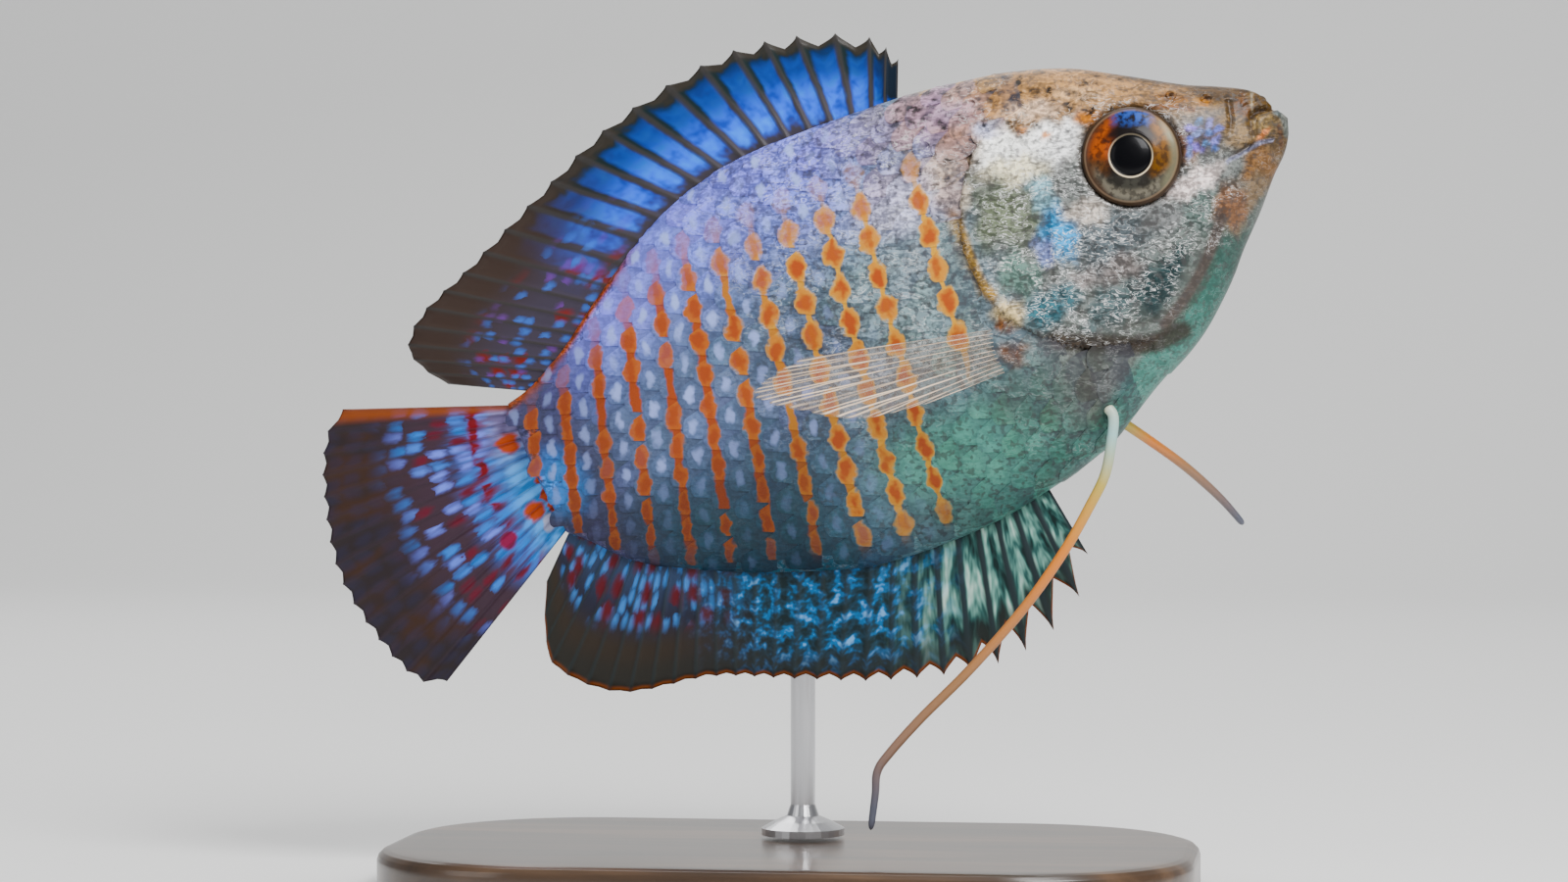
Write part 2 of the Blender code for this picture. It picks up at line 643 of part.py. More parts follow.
def main():
    for old in list(bpy.data.objects):
        bpy.data.objects.remove(old)

    skin = material("silver_skin", (0.50, 0.56, 0.66), 0.35)
    cheek = material("silver_cheek", (0.66, 0.68, 0.66), 0.3)
    amber = material("amber_eye", (0.28, 0.12, 0.03), 0.1)
    blue = material("blue_fin", (0.02, 0.16, 0.62), 0.4)
    speckled = material("speckled_fin", (0.16, 0.30, 0.60), 0.4)
    clear = material("pale_fin", (0.80, 0.66, 0.56), 0.3)
    thread = material("feeler_thread", (0.85, 0.66, 0.38), 0.5)
    walnut = material("dark_wood", (0.06, 0.035, 0.02), 0.35)
    steel = material("brushed_steel", (0.6, 0.6, 0.62), 0.3, 1.0)

    fish = bpy.data.objects.new("fish", None)
    bpy.context.scene.collection.objects.link(fish)
    fish.location = Vector((SNOUT_PLACE[0], 0, SNOUT_PLACE[1])) * MM
    fish.rotation_euler = (0, -math.radians(NOSE_UP_DEG), 0)

    neck, neck_out = NECK_CUT
    tail, tail_out = TAIL_CUT
    neck_in = (-neck_out[0], -neck_out[1])
    tail_in = (-tail_out[0], -tail_out[1])
    head = node("head", part_of_body([(neck, neck_out)]), skin, fish)
    trunk = node("trunk", part_of_body([(neck, neck_in), (tail, tail_out)]), skin, fish)
    node("tail_stalk", part_of_body([(tail, tail_in)]), skin, fish)

    added = [node("upper_lip", lip(UPPER_LIP_RISE), None, fish),
             node("lower_lip", lip(LOWER_LIP_DROP), None, fish)]
    removed = [node("slit", mouth_slit(), None, fish)]
    for side, label in ((-1, "right"), (1, "left")):
        for spec in NOSTRILS:
            added.append(node("rim", nostril(spec, side, spec[2], NOSTRIL_RISE, -NOSTRIL_SINK), None, fish))
            removed.append(node("pit", nostril(spec, side, spec[1], 1.0, -0.4), None, fish))
        removed.append(node("socket", turned(eye_profile(GAP), EYE_STEPS, eye_place(side)), None, fish))
        removed.append(node("recess", gill_plate(side, GAP, 1.5), None, fish))
        node("eye_" + label, turned(eye_profile(), EYE_STEPS, eye_place(side)), amber, fish)
        node("gill_cover_" + label, gill_plate(side), cheek, fish)
    combine(head, added, "UNION")
    combine(head, removed, "DIFFERENCE")
    recesses = [node("recess", gill_plate(side, GAP, 1.5), None, fish) for side in (-1, 1)]
    combine(trunk, recesses, "DIFFERENCE")

    edge_fin("dorsal_fin", blue, fish, DORSAL_BASE, DORSAL_TIP, DORSAL_NOTCH,
             DORSAL_SPINES + DORSAL_RAYS, BACK, 1,
             lambda share: 1.6 * share * share)
    edge_fin("anal_fin", speckled, fish, ANAL_BASE, ANAL_TIP, ANAL_NOTCH,
             ANAL_SPINES + ANAL_RAYS, BELLY, -1, lambda share: 0.0)
    tail_fin(speckled, fish)
    for side, label, route in ((-1, "right", RIGHT_FEELER), (1, "left", LEFT_FEELER)):
        pectoral_fin("pectoral_fin_" + label, side, clear, fish)
        feeler("pelvic_feeler_" + label, route, side, thread, fish)

    stand_base(walnut)
    stand_rod(steel, fish)


main()
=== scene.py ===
# %% [markdown]
# # A dwarf gourami in Blender
# This lesson dresses a plain solid model of a small aquarium fish as a museum would show it.
# The solids are already at their real size. Here each one is covered, or replaced, by a finer
# mesh with a procedural finish. Sizes are millimetres in the fish's own frame until the last step.

# %% Load the solids
import json
import math
import bmesh
import bpy
import numpy as np
from mathutils import Matrix, Vector

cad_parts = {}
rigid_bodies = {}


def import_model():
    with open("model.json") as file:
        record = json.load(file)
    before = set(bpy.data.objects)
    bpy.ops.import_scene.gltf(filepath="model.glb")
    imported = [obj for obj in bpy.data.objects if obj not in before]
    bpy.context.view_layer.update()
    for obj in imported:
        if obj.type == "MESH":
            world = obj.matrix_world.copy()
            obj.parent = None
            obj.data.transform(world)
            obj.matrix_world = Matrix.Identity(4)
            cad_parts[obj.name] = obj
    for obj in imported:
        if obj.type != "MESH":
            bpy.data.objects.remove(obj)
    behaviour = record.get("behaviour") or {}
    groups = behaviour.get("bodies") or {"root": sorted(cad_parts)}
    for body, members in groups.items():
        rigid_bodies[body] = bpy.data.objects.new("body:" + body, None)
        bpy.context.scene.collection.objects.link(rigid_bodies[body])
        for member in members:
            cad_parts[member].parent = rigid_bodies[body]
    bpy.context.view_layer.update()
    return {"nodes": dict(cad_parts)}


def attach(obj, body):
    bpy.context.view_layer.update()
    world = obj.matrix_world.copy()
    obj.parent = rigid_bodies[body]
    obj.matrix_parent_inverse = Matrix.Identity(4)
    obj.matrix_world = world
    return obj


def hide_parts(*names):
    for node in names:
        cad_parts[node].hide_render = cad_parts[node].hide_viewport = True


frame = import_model()
print("solid nodes:", sorted(frame["nodes"]))

# %% [markdown]
# A fish is easiest to draw level. A point has three sizes: a, its distance behind the snout; h,
# its height above the axis; and y, its distance to the left. The real fish was photographed with
# its nose up by 25 degrees, so one function turns every point from that frame to the room.

# %% The fish's frame
MM = 0.001
NOSE_UP = math.radians(25.0)
SNOUT_PLACE = (35.591, 55.0)
BODY_LENGTH = 60.2
TAIL_BEND = 2.0
BEND_FROM = 20.0
DICE = np.random.default_rng(7)


def bend(a):
    """How far the middle plane has swung to the left: the tail curls gently away."""
    return TAIL_BEND * (np.maximum(a - BEND_FROM, 0.0) / (BODY_LENGTH - BEND_FROM)) ** 2


def room(a, h, y):
    """Points of the room, in metres, from sizes in the fish's frame."""
    a, h, y = np.broadcast_arrays(np.asarray(a, float), h, y)
    x = SNOUT_PLACE[0] - a * math.cos(NOSE_UP) - h * math.sin(NOSE_UP)
    z = SNOUT_PLACE[1] - a * math.sin(NOSE_UP) + h * math.cos(NOSE_UP)
    return np.stack([x, y + bend(a), z], axis=-1) * MM


def fish(points):
    """The sizes a, h and y of points of the room."""
    x = points[..., 0] / MM - SNOUT_PLACE[0]
    z = points[..., 2] / MM - SNOUT_PLACE[1]
    a = -x * math.cos(NOSE_UP) - z * math.sin(NOSE_UP)
    h = -x * math.sin(NOSE_UP) + z * math.cos(NOSE_UP)
    return a, h, points[..., 1] / MM - bend(a)


print("snout at", room(0, 0, 0))

# %% [markdown]
# The body is described by four lines: the back, the belly, the half width, and the height of the
# widest part of the flank. A smooth curve runs through a few measured points of each.

# %% The body's outlines
BACK = [(0.65, 0.1), (1.2, 1.15), (1.55, 2.05), (2.25, 2.85), (4.0, 3.95), (6.1, 5.1), (9.5, 7.4),
        (13.0, 9.65), (17.0, 11.25), (21.0, 12.25), (25.0, 13.0), (35.5, 14.0), (40.0, 13.7), (44.5, 12.5),
        (50.4, 9.55), (55.0, 6.9), (58.0, 5.7), (60.2, 5.3)]
BELLY = [(0.65, -0.6), (1.0, -1.45), (1.8, -2.5), (3.1, -3.6), (5.2, -5.65), (9.1, -8.95), (12.6, -11.6),
         (17.0, -13.7), (21.6, -15.95), (26.4, -16.97), (32.0, -17.5), (39.8, -16.8), (45.1, -15.0),
         (50.3, -12.6), (56.2, -9.1), (59.0, -6.0), (60.2, -4.9)]
HALF_WIDTH = [(0.65, 0.5), (1.3, 1.0), (4.0, 2.4), (8.0, 3.75), (11.0, 4.35), (15.0, 4.9), (20.0, 5.3),
              (26.0, 5.4), (31.0, 5.15), (37.0, 4.5), (43.0, 3.7), (49.0, 2.8), (55.0, 1.9), (60.2, 1.15)]
WIDEST = [(0.65, -0.25), (2.0, 0.1), (6.0, 0.3), (12.0, -0.4), (20.0, -2.2), (28.0, -3.3), (40.0, -2.2),
          (50.0, -0.8), (60.2, 0.2)]
PINCH_TOP = [(0.65, 0.85), (10.0, 0.8), (20.0, 1.0), (30.0, 1.25), (60.2, 1.2)]
PINCH_BOTTOM = [(0.65, 0.85), (10.0, 0.9), (20.0, 0.95), (28.0, 1.1), (36.0, 1.25), (60.2, 1.25)]
RIDGE_HALF_WIDTH = 0.4
SKIN_DEPTH = -0.12


def curve(points, x, item=1):
    """Values at x of the smooth curve through the points, whose first value is x."""
    knots = np.array([point[0] for point in points], float)
    values = np.array([point[item] for point in points], float)
    number = np.arange(len(knots))
    low, high = np.maximum(number - 1, 0), np.minimum(number + 1, len(knots) - 1)
    slopes = (values[high] - values[low]) / (knots[high] - knots[low])
    x = np.clip(x, knots[0], knots[-1])
    k = np.clip(np.searchsorted(knots, x, side="right") - 1, 0, len(knots) - 2)
    span = knots[k + 1] - knots[k]
    t = (x - knots[k]) / span
    return (values[k] * (1 + 2 * t) * (1 - t) ** 2 + values[k + 1] * t * t * (3 - 2 * t)
            + slopes[k] * span * t * (1 - t) ** 2 - slopes[k + 1] * span * t * t * (1 - t))


def path(points, share):
    """Point at a share, from 0 to 1, of the smooth path through evenly numbered points."""
    numbered = [(i / (len(points) - 1), *point) for i, point in enumerate(points)]
    return [curve(numbered, share, item) for item in range(1, len(points[0]) + 1)]


def section(a, angle, grow=SKIN_DEPTH):
    """Height and half width at an angle round the body's section, from 0 at the back."""
    middle = curve(WIDEST, a)
    top, bottom = curve(BACK, a) + grow, curve(BELLY, a) - grow
    wide = curve(HALF_WIDTH, a) + grow
    ridge = np.minimum(RIDGE_HALF_WIDTH + grow, wide)
    upper = angle < math.pi / 2
    edge = np.where(upper, top, bottom)
    pinch = np.where(upper, curve(PINCH_TOP, a), curve(PINCH_BOTTOM, a))
    h = middle + np.abs(edge - middle) * np.cos(angle)
    return h, ridge + (wide - ridge) * np.abs(np.sin(angle)) ** pinch


def flank(a, h, grow=SKIN_DEPTH):
    """Half width of the body at a height h."""
    middle = curve(WIDEST, a)
    edge = np.where(h > middle, curve(BACK, a) + grow, curve(BELLY, a) - grow)
    pinch = np.where(h > middle, curve(PINCH_TOP, a), curve(PINCH_BOTTOM, a))
    share = np.clip(np.abs((h - middle) / (edge - middle)), 0, 1)
    wide = curve(HALF_WIDTH, a) + grow
    ridge = RIDGE_HALF_WIDTH + grow
    return ridge + (wide - ridge) * np.sqrt(1 - share * share) ** pinch


print("greatest depth of the body:", round(float(curve(BACK, 34.0) - curve(BELLY, 34.0)), 1), "mm")

# %% [markdown]
# Most pieces of a fish are sheets or tubes, so they start as a flat grid primitive that is rolled
# round: one way of the grid goes round the piece, the other along it. Merging the doubles then
# closes the seam and the ends, and the grid's own UV map stays for the patterns.

# %% Rolling a grid
def clear_selection():
    if bpy.context.object and bpy.context.object.mode == "EDIT":
        bpy.ops.object.mode_set(mode="OBJECT")
    bpy.ops.object.select_all(action="DESELECT")


def settle(piece, merge=1e-7):
    """Merges doubles, turns the faces outwards and shades the piece smooth."""
    clear_selection()
    bpy.context.view_layer.objects.active = piece
    piece.select_set(True)
    bpy.ops.object.mode_set(mode="EDIT")
    bpy.ops.mesh.select_all(action="SELECT")
    bpy.ops.mesh.remove_doubles(threshold=merge)
    bpy.ops.mesh.normals_make_consistent(inside=False)
    bpy.ops.object.mode_set(mode="OBJECT")
    bpy.ops.object.shade_smooth()
    return piece


def rolled(name, around, along, place):
    """A closed piece from a grid: place gives points of the room for shares round and along."""
    clear_selection()
    bpy.ops.mesh.primitive_grid_add(x_subdivisions=around, y_subdivisions=along, size=1.0)
    piece = bpy.context.object
    piece.name = name
    mesh = piece.data
    flat = np.empty(len(mesh.vertices) * 3)
    mesh.vertices.foreach_get("co", flat)
    flat = flat.reshape(-1, 3)
    points = place(flat[:, 0] + 0.5, flat[:, 1] + 0.5)
    mesh.vertices.foreach_set("co", points.ravel())
    mesh.uv_layers[0].name = "pattern"
    return settle(piece)


def read_points(mesh, item="co"):
    values = np.empty(len(mesh.vertices) * 3)
    mesh.vertices.foreach_get(item, values)
    return values.reshape(-1, 3)


def write_values(mesh, name, values):
    """Stores one value for each vertex."""
    made = mesh.attributes.new(name, "FLOAT", "POINT")
    made.data.foreach_set("value", np.asarray(values, float))


def write_colours(mesh, name, colours):
    """Stores one colour for each vertex, from rows of three numbers."""
    made = mesh.attributes.new(name, "FLOAT_COLOR", "POINT")
    made.data.foreach_set("color", np.concatenate([colours, np.ones((len(colours), 1))], 1).ravel())


def join(pieces):
    clear_selection()
    for piece in pieces:
        piece.select_set(True)
    bpy.context.view_layer.objects.active = pieces[0]
    bpy.ops.object.join()
    return pieces[0]


# %% [markdown]
# Markings are painted by rule, not from a picture. Each patch of colour is a soft oval with a
# place and a size, each line is a path with a width, and all of them are laid over a base colour
# that runs from the back to the belly. Skin and scales ask the same rules, so they agree.

# %% Paint rules
RICHNESS = 1.4
DEPTH = 0.74


def paint(*levels):
    """Linear colour from a painter's three levels, where 255 is white, made richer and deeper."""
    shares = np.array(levels) / 255.0
    light = np.where(shares <= 0.04045, shares / 12.92, ((shares + 0.055) / 1.055) ** 2.4)
    grey = light.mean()
    return np.clip(grey + (light - grey) * RICHNESS, 0.0, 1.2) * DEPTH


def soft(value, low, high):
    """Rises smoothly from 0 at low to 1 at high."""
    t = np.clip((value - low) / (high - low), 0, 1)
    return t * t * (3 - 2 * t)


def fall(value, low, high):
    """Falls smoothly from 1 at low to 0 at high."""
    return soft(-value, -high, -low)


def up_share(a, h):
    """Height on the flank, from 0 at the belly's outline to 1 at the back's."""
    bottom = curve(BELLY, a)
    return (h - bottom) / (curve(BACK, a) - bottom)


def oval(a, h, centre, size, turn=0.0):
    """Share of a soft oval patch: 1 in its middle and 0 outside."""
    c, s = math.cos(math.radians(turn)), math.sin(math.radians(turn))
    da, dh = a - centre[0], h - centre[1]
    reach = np.hypot((da * c + dh * s) / size[0], (dh * c - da * s) / size[1])
    return fall(reach, 0.45, 1.25)


def off_line(a, h, points, steps=24):
    """Distance from a smooth line, and how far along it the nearest place is."""
    line_a, line_h = path(points, np.linspace(0, 1, steps))
    nearest = np.full(np.shape(a), 1e9)
    along = np.zeros(np.shape(a))
    for i in range(steps - 1):
        step_a, step_h = line_a[i + 1] - line_a[i], line_h[i + 1] - line_h[i]
        length = np.hypot(step_a, step_h) + 1e-9
        t = np.clip(((a - line_a[i]) * step_a + (h - line_h[i]) * step_h) / length ** 2, 0, 1)
        gap = np.hypot(a - line_a[i] - t * step_a, h - line_h[i] - t * step_h)
        closer = gap < nearest
        nearest = np.where(closer, gap, nearest)
        along = np.where(closer, (i + t) / (steps - 1), along)
    return nearest, along


print("white is painted as", paint(255, 255, 255).round(2))

# %% Colours and places of the markings
RUST = (0.34, 0.05, 0.003)
ORANGE = (0.55, 0.14, 0.005)
AMBER = (0.66, 0.32, 0.016)
ICE = (0.36, 0.47, 1.0)
BAR_FIRST = 31.2
BAR_STEP = 2.87
BAR_LEAN = [(20.0, 0.12), (30.0, 0.17), (40.0, 0.22), (48.0, 0.33), (60.0, 0.38)]
EYE_CENTRE = (11.42, 1.75)
GILL_OUTER = [(8.0, -5.9), (9.8, -7.8), (12.6, -9.6), (15.7, -10.4), (19.4, -9.2), (22.6, -6.8),
              (24.4, -3.7), (24.8, 0.1), (23.5, 3.9), (21.4, 6.6), (19.4, 8.0)]
GILL_EDGE = [(height, distance) for distance, height in GILL_OUTER[3:]]
CHEEK_GROOVE = [(18.4, 1.2), (18.9, -0.6), (19.7, -2.8), (19.9, -4.9), (19.2, -6.9), (17.6, -8.4),
                (15.2, -9.2), (12.6, -8.8)]
JAW_FOLD = [(2.2, -1.05), (2.9, -0.85), (3.5, -0.92), (4.5, -1.1), (5.6, -1.1)]
LIP_CREASE = [(3.75, 2.5), (3.95, 1.8), (4.15, 1.15), (4.6, 0.4)]
LIP_FRONT = [(2.1, 2.7), (2.1, 2.3), (2.36, 1.75), (2.6, 1.1)]
PLATE_FRONT = [(2.62, 1.05), (2.96, 0.55), (3.13, 0.05), (3.2, -0.45)]
MOUTH_LINE = [(1.25, 0.7), (1.75, 0.95), (2.55, 0.95), (3.2, -0.1), (4.6, -0.95)]
THROAT_BAND = [(21.8, -7.6), (18.2, -9.5), (15.6, -10.7), (13.4, -10.7)]
THROAT_EDGE = [(7.6, -4.7), (9.7, -6.9), (12.1, -8.7), (14.3, -9.8)]
GILL_STRIP = [(24.2, 3.4), (24.4, 2.0), (24.55, 0.0), (24.6, -1.8), (24.2, -3.0)]

# Patches are (middle, size, turn in degrees, levels) and lines are (path, width, levels)
HEAD_PATCHES = [
    ((19.0, 9.6), (7.5, 2.6), 14, (150, 118, 86)), ((21.8, 10.0), (2.6, 1.2), 20, (156, 134, 140)),
    ((16.4, 7.7), (2.4, 0.8), 22, (206, 180, 158)), ((13.1, 7.4), (2.0, 0.6), 30, (184, 152, 120)),
    ((18.4, 5.5), (3.4, 1.8), 22, (318, 302, 280)), ((15.3, 4.9), (1.8, 1.5), 5, (304, 292, 284)),
    ((19.2, 4.3), (2.4, 1.1), 20, (244, 236, 208)), ((19.9, 7.8), (1.1, 0.65), 20, (226, 230, 255)),
    ((21.3, 2.0), (2.5, 3.0), 0, (108, 116, 98)), ((22.0, -2.4), (1.9, 1.6), 0, (104, 128, 120)),
    ((20.8, -5.4), (2.2, 1.5), -10, (64, 102, 112)), ((17.4, -7.2), (2.8, 1.3), -20, (82, 98, 100)),
    ((15.0, -2.7), (3.9, 2.4), 5, (90, 98, 102)), ((13.3, -7.0), (3.4, 1.7), -25, (40, 60, 62)),
    ((16.0, -0.5), (1.9, 1.0), 10, (214, 204, 194)), ((15.4, -5.0), (1.9, 1.0), 10, (128, 122, 120)),
    ((17.9, -4.7), (1.2, 0.6), 25, (150, 144, 142)), ((18.1, 2.0), (0.9, 1.5), 0, (156, 194, 206)),
    ((18.3, -1.0), (1.3, 2.2), 0, (84, 164, 218)), ((19.6, -1.7), (0.8, 1.1), 0, (146, 158, 208)),
    ((8.9, -3.6), (2.1, 1.7), -20, (94, 108, 104)), ((11.4, -3.0), (1.8, 1.2), 0, (122, 124, 124)),
    ((8.2, -1.75), (2.3, 0.85), -5, (255, 240, 236)), ((8.1, 0.9), (0.9, 1.7), -10, (150, 118, 100)),
    ((6.2, 1.1), (1.6, 1.4), 0, (80, 68, 76)), ((3.1, 0.9), (2.7, 2.6), 20, (112, 88, 56)),
    ((6.6, -4.4), (2.0, 1.3), -50, (134, 102, 82)), ((1.5, -1.4), (1.3, 1.5), -30, (112, 94, 74)),
    ((3.6, -2.5), (1.7, 1.5), -40, (136, 104, 76)),
    ((4.6, -3.9), (1.5, 0.8), -40, (138, 120, 100)), ((4.4, 2.7), (1.1, 0.6), 25, (118, 88, 48)),
    ((4.2, 3.3), (2.6, 0.8), 28, (72, 52, 28)), ((3.1, 1.7), (0.75, 1.0), 10, (86, 54, 4)),
    ((1.75, 1.6), (0.5, 1.0), -28, (74, 54, 10)),
    ((3.95, 0.0), (0.95, 1.0), -30, (134, 114, 90)), ((2.15, -0.05), (1.0, 0.8), -20, (150, 128, 94)),
    ((0.95, 0.35), (0.4, 0.35), 0, (124, 132, 132)), ((2.5, -0.6), (0.65, 0.22), -20, (218, 146, 108)),
    ((5.25, 3.15), (0.5, 0.4), 30, (160, 112, 62)), ((7.2, 4.3), (1.4, 0.45), 35, (122, 86, 54)),
    ((13.1, 5.5), (1.1, 0.6), 20, (174, 116, 66)), ((17.6, 6.6), (0.45, 0.35), 0, (190, 138, 100)),
    ((16.2, 5.6), (0.4, 0.35), 0, (196, 146, 116)), ((23.7, -4.6), (1.3, 0.9), 30, (226, 206, 164)),
    ((24.4, -5.2), (0.6, 0.6), 0, (112, 72, 40)), ((23.9, 5.4), (1.3, 2.4), 0, (226, 212, 194)),
    ((24.7, -7.2), (1.0, 1.0), 0, (116, 86, 70)),
    ((18.7, 7.8), (0.4, 0.3), 20, (96, 74, 62)), ((17.8, 6.7), (0.35, 0.3), 0, (104, 80, 66)),
]
FLAKES = [(5.2, 1.0), (5.6, 1.6), (6.2, 2.0), (6.9, 1.8), (5.9, 1.0), (6.6, 1.3), (7.3, 1.1), (5.7, 0.3),
          (6.4, 0.4), (7.1, 0.4), (6.0, -0.2), (7.7, 0.3)]
HEAD_LINES = [
    (THROAT_EDGE, 0.55, (88, 78, 74)), (THROAT_BAND, 0.95, (52, 42, 32)), (GILL_STRIP, 0.6, (162, 128, 8)),
    (LIP_FRONT, 0.1, (150, 140, 122)), ([(1.35, -0.5), (1.5, -1.2), (1.8, -1.9)], 0.2, (96, 72, 56)),
    # Below the jaw fold runs a pale bluish line of painted sheen.
    ([(2.2, -1.25), (2.9, -1.1), (3.6, -1.15), (5.6, -1.35)], 0.2, (140, 142, 168)),
    ([(9.0, 4.5), (7.4, 3.7), (6.2, 2.9)], 0.25, (104, 66, 36)),
    ([(0.85, 0.1), (0.85, -0.6), (1.1, -1.3)], 0.3, (112, 116, 112)),
]
print("patches and lines on the head:", len(HEAD_PATCHES), len(HEAD_LINES))


# %% Paint on the body
def body_paint(a, h):
    """Colour of the skin at places on the flank, one row of three for each place."""
    top, bottom = curve(BACK, a), curve(BELLY, a)
    up = np.clip(up_share(a, h), 0, 1)
    colour = np.zeros((*np.shape(a), 3)) + paint(116, 130, 142)

    def lay(share, levels):
        colour[...] = colour + (paint(*levels) - colour) * np.clip(share, 0, 1)[..., None]

    lay(soft(a, 30, 48), (106, 122, 154))
    lay(oval(a, h, (29.0, 2.0), (6.0, 9.0)), (134, 152, 156))
    lay(oval(a, h, (27.4, 5.8), (3.6, 2.4)), (224, 226, 246))
    lay(soft(up, 0.6, 0.95) * soft(a, 24, 34), (156, 162, 255))
    lay(fall(up, 0.14, 0.44) * fall(a, 26, 46), (96, 142, 134))
    # Darker and bluer low on the rear flank: the fish's own tone, with painted shade.
    lay(fall(up, 0.14, 0.46) * soft(a, 33, 44), (62, 94, 112))
    lay(oval(a, h, (30.5, -12.0), (6.5, 3.2), 10), (112, 168, 154))
    # Darker on the tail stalk: the fish's own tone, with painted shade.
    lay(soft(a, 51, 58), (78, 78, 112))
    lay(oval(a, h, (58.6, -1.6), (2.2, 2.8)), (104, 156, 232))
    head = fall(a, 21, 25)
    lay(head * 0.9, (116, 118, 114))
    lay(head * soft(up, 0.68, 0.88), (150, 118, 86))
    throat = fall(h - bottom, 1.7, 2.9) * fall(a, 17, 23) * soft(a, 5.0, 8.5)
    lay(oval(a, h, (24.6, -10.2), (3.4, 2.6)) * 0.5, (96, 108, 100))
    lay(throat, (72, 118, 108))
    lay(throat * fall(a, 6, 12), (70, 84, 80))
    lay(fall(h - bottom, 1.2, 2.8) * soft(a, 11, 15) * fall(a, 28, 34), (94, 142, 132))
    flakes = [(centre, (0.42 + 0.16 * math.sin(3 * i), 0.26), 60 * math.sin(5 * i),
               (106 + 24 * (i % 2), 116 + 14 * (i % 3), 198)) for i, centre in enumerate(FLAKES)]
    for centre, size, turn, levels in HEAD_PATCHES + flakes:
        small = min(size)
        ragged_a = a + small * (0.2 * np.sin(3.1 * h / small + a) + 0.1 * np.sin(7.7 * h / small))
        ragged_h = h + small * (0.2 * np.sin(2.7 * a / small + h) + 0.1 * np.sin(8.3 * a / small))
        lay(oval(ragged_a, ragged_h, centre, size, turn), levels)
    for line, width, levels in HEAD_LINES:
        lay(fall(off_line(a, h, line)[0], 0.4 * width, width) * 0.9, levels)
    lay(fall(top - h, 0.2, 0.8) * fall(a, 9, 12) * soft(a, 2.6, 3.6), (92, 74, 56))
    shaded = 0.15 * fall(up, 0.15, 0.42) * fall(a, 24, 30) + 0.13 * fall(a, 5.0, 7.5)
    colour *= 1 - shaded[..., None]
    lay(fall(top - h, 0.35, 0.9) * soft(a, 45.5, 49.0), (158, 84, 26))
    return colour


def bar_place(a, h, number=None):
    """Distance behind the middle of a rust bar, or of the nearest one, and the bar's strength."""
    across = (a + curve(BAR_LEAN, a) * h - BAR_FIRST) / BAR_STEP
    first = across < -0.9
    if number is None:
        number = np.where(first, -1.5, np.clip(np.round(across), 0, 10))
    up = up_share(a, h)
    strength = soft(up, 0.02, 0.14) * soft(0.08 * soft(a, 36, 46) - up, -0.88, -0.7)
    return (across - number) * BAR_STEP, strength * np.where(first, soft(h, -9.0, -4.0), 1.0)


print("paint rules ready")

# %% [markdown]
# The skin is one closed surface from lip to tail. Its relief is also given by rules: the gill
# cover stands a little proud with a step at its free edge, grooves part the bones of the cheek,
# and a soft ring rises round each eye.

# %% Skin
CROWDING = 1.35
LIP_CAP, TAIL_CAP, TAIL_MIDDLE = 0.1, 0.15, 0.2
EYE_RIDGE = 3.9
EYE_HOLE = (3.2, 3.55)
DEEPEST_GROOVE = -0.28


def body_place(around, along):
    """Points of the skin: its first way goes round from the belly, its second from lip to tail."""
    angle = np.abs(around * 2 - 1) * math.pi
    side = np.where(around < 0.5, 1.0, -1.0)
    a = BACK[0][0] + (BODY_LENGTH - BACK[0][0]) * along ** CROWDING
    h, out = section(a, angle)
    lip, tail = along < 1e-6, along > 1 - 1e-6
    tip_h = np.where(along < 0.5, WIDEST[0][1], TAIL_MIDDLE)
    a = a - LIP_CAP * lip + TAIL_CAP * tail
    keel = (around < 1e-6) | (around > 1 - 1e-6)
    return room(a, np.where(lip | tail, tip_h, h), np.where(lip | tail | keel, 0.0, side * out))


def relief(a, h):
    """How far the skin stands out at places on the flank, in millimetres."""
    gap, along = off_line(a, h, GILL_OUTER)
    inside = (a < curve(GILL_EDGE, h)) & (gap < 6)
    rise = np.where(inside, 0.30 * fall(gap, 0.0, 4.5), -0.22 * fall(gap, 0.0, 0.9))
    rise *= soft(along, 0.0, 0.12) * fall(along, 0.88, 1.0)
    gap, along = off_line(a, h, CHEEK_GROOVE)
    rise -= 0.22 * fall(gap, 0.05, 0.45) * soft(along, 0, 0.1) * fall(along, 0.9, 1.0)
    for line, depth, near, far in ((JAW_FOLD, 0.22, 0.04, 0.3), (LIP_CREASE, 0.12, 0.04, 0.26),
                                   (PLATE_FRONT, 0.12, 0.04, 0.26), (THROAT_BAND, 0.18, 0.3, 1.0)):
        rise -= depth * fall(off_line(a, h, line)[0], near, far)
    rise = np.maximum(rise, DEEPEST_GROOVE)
    gap, along = off_line(a, h, MOUTH_LINE)
    rise -= 0.45 * fall(gap, 0.04, 0.34) * fall(along, 0.5, 0.62)
    ring = np.hypot(a - EYE_CENTRE[0], h - EYE_CENTRE[1])
    rise += 0.16 * np.exp(-((ring - EYE_RIDGE) / 0.3) ** 2) - 1.2 * fall(ring, *EYE_HOLE)
    return rise + 0.35 * oval(a, h, (24.4, -3.6), (1.0, 1.7), 15)


skin = rolled("skin", 260, 290, body_place)
points = read_points(skin.data)
a, h = fish(points)[:2]
points += read_points(skin.data, "normal") * (relief(a, h) * MM)[:, None]
skin.data.vertices.foreach_set("co", points.ravel())
skin.data.update()
print("skin:", len(skin.data.polygons), "faces")

# %% [markdown]
# The lips are two soft rolls that meet at the corners of the upturned mouth. Each is a grid
# rolled round a bent path. The nostrils are small raised rings in front of the eye.

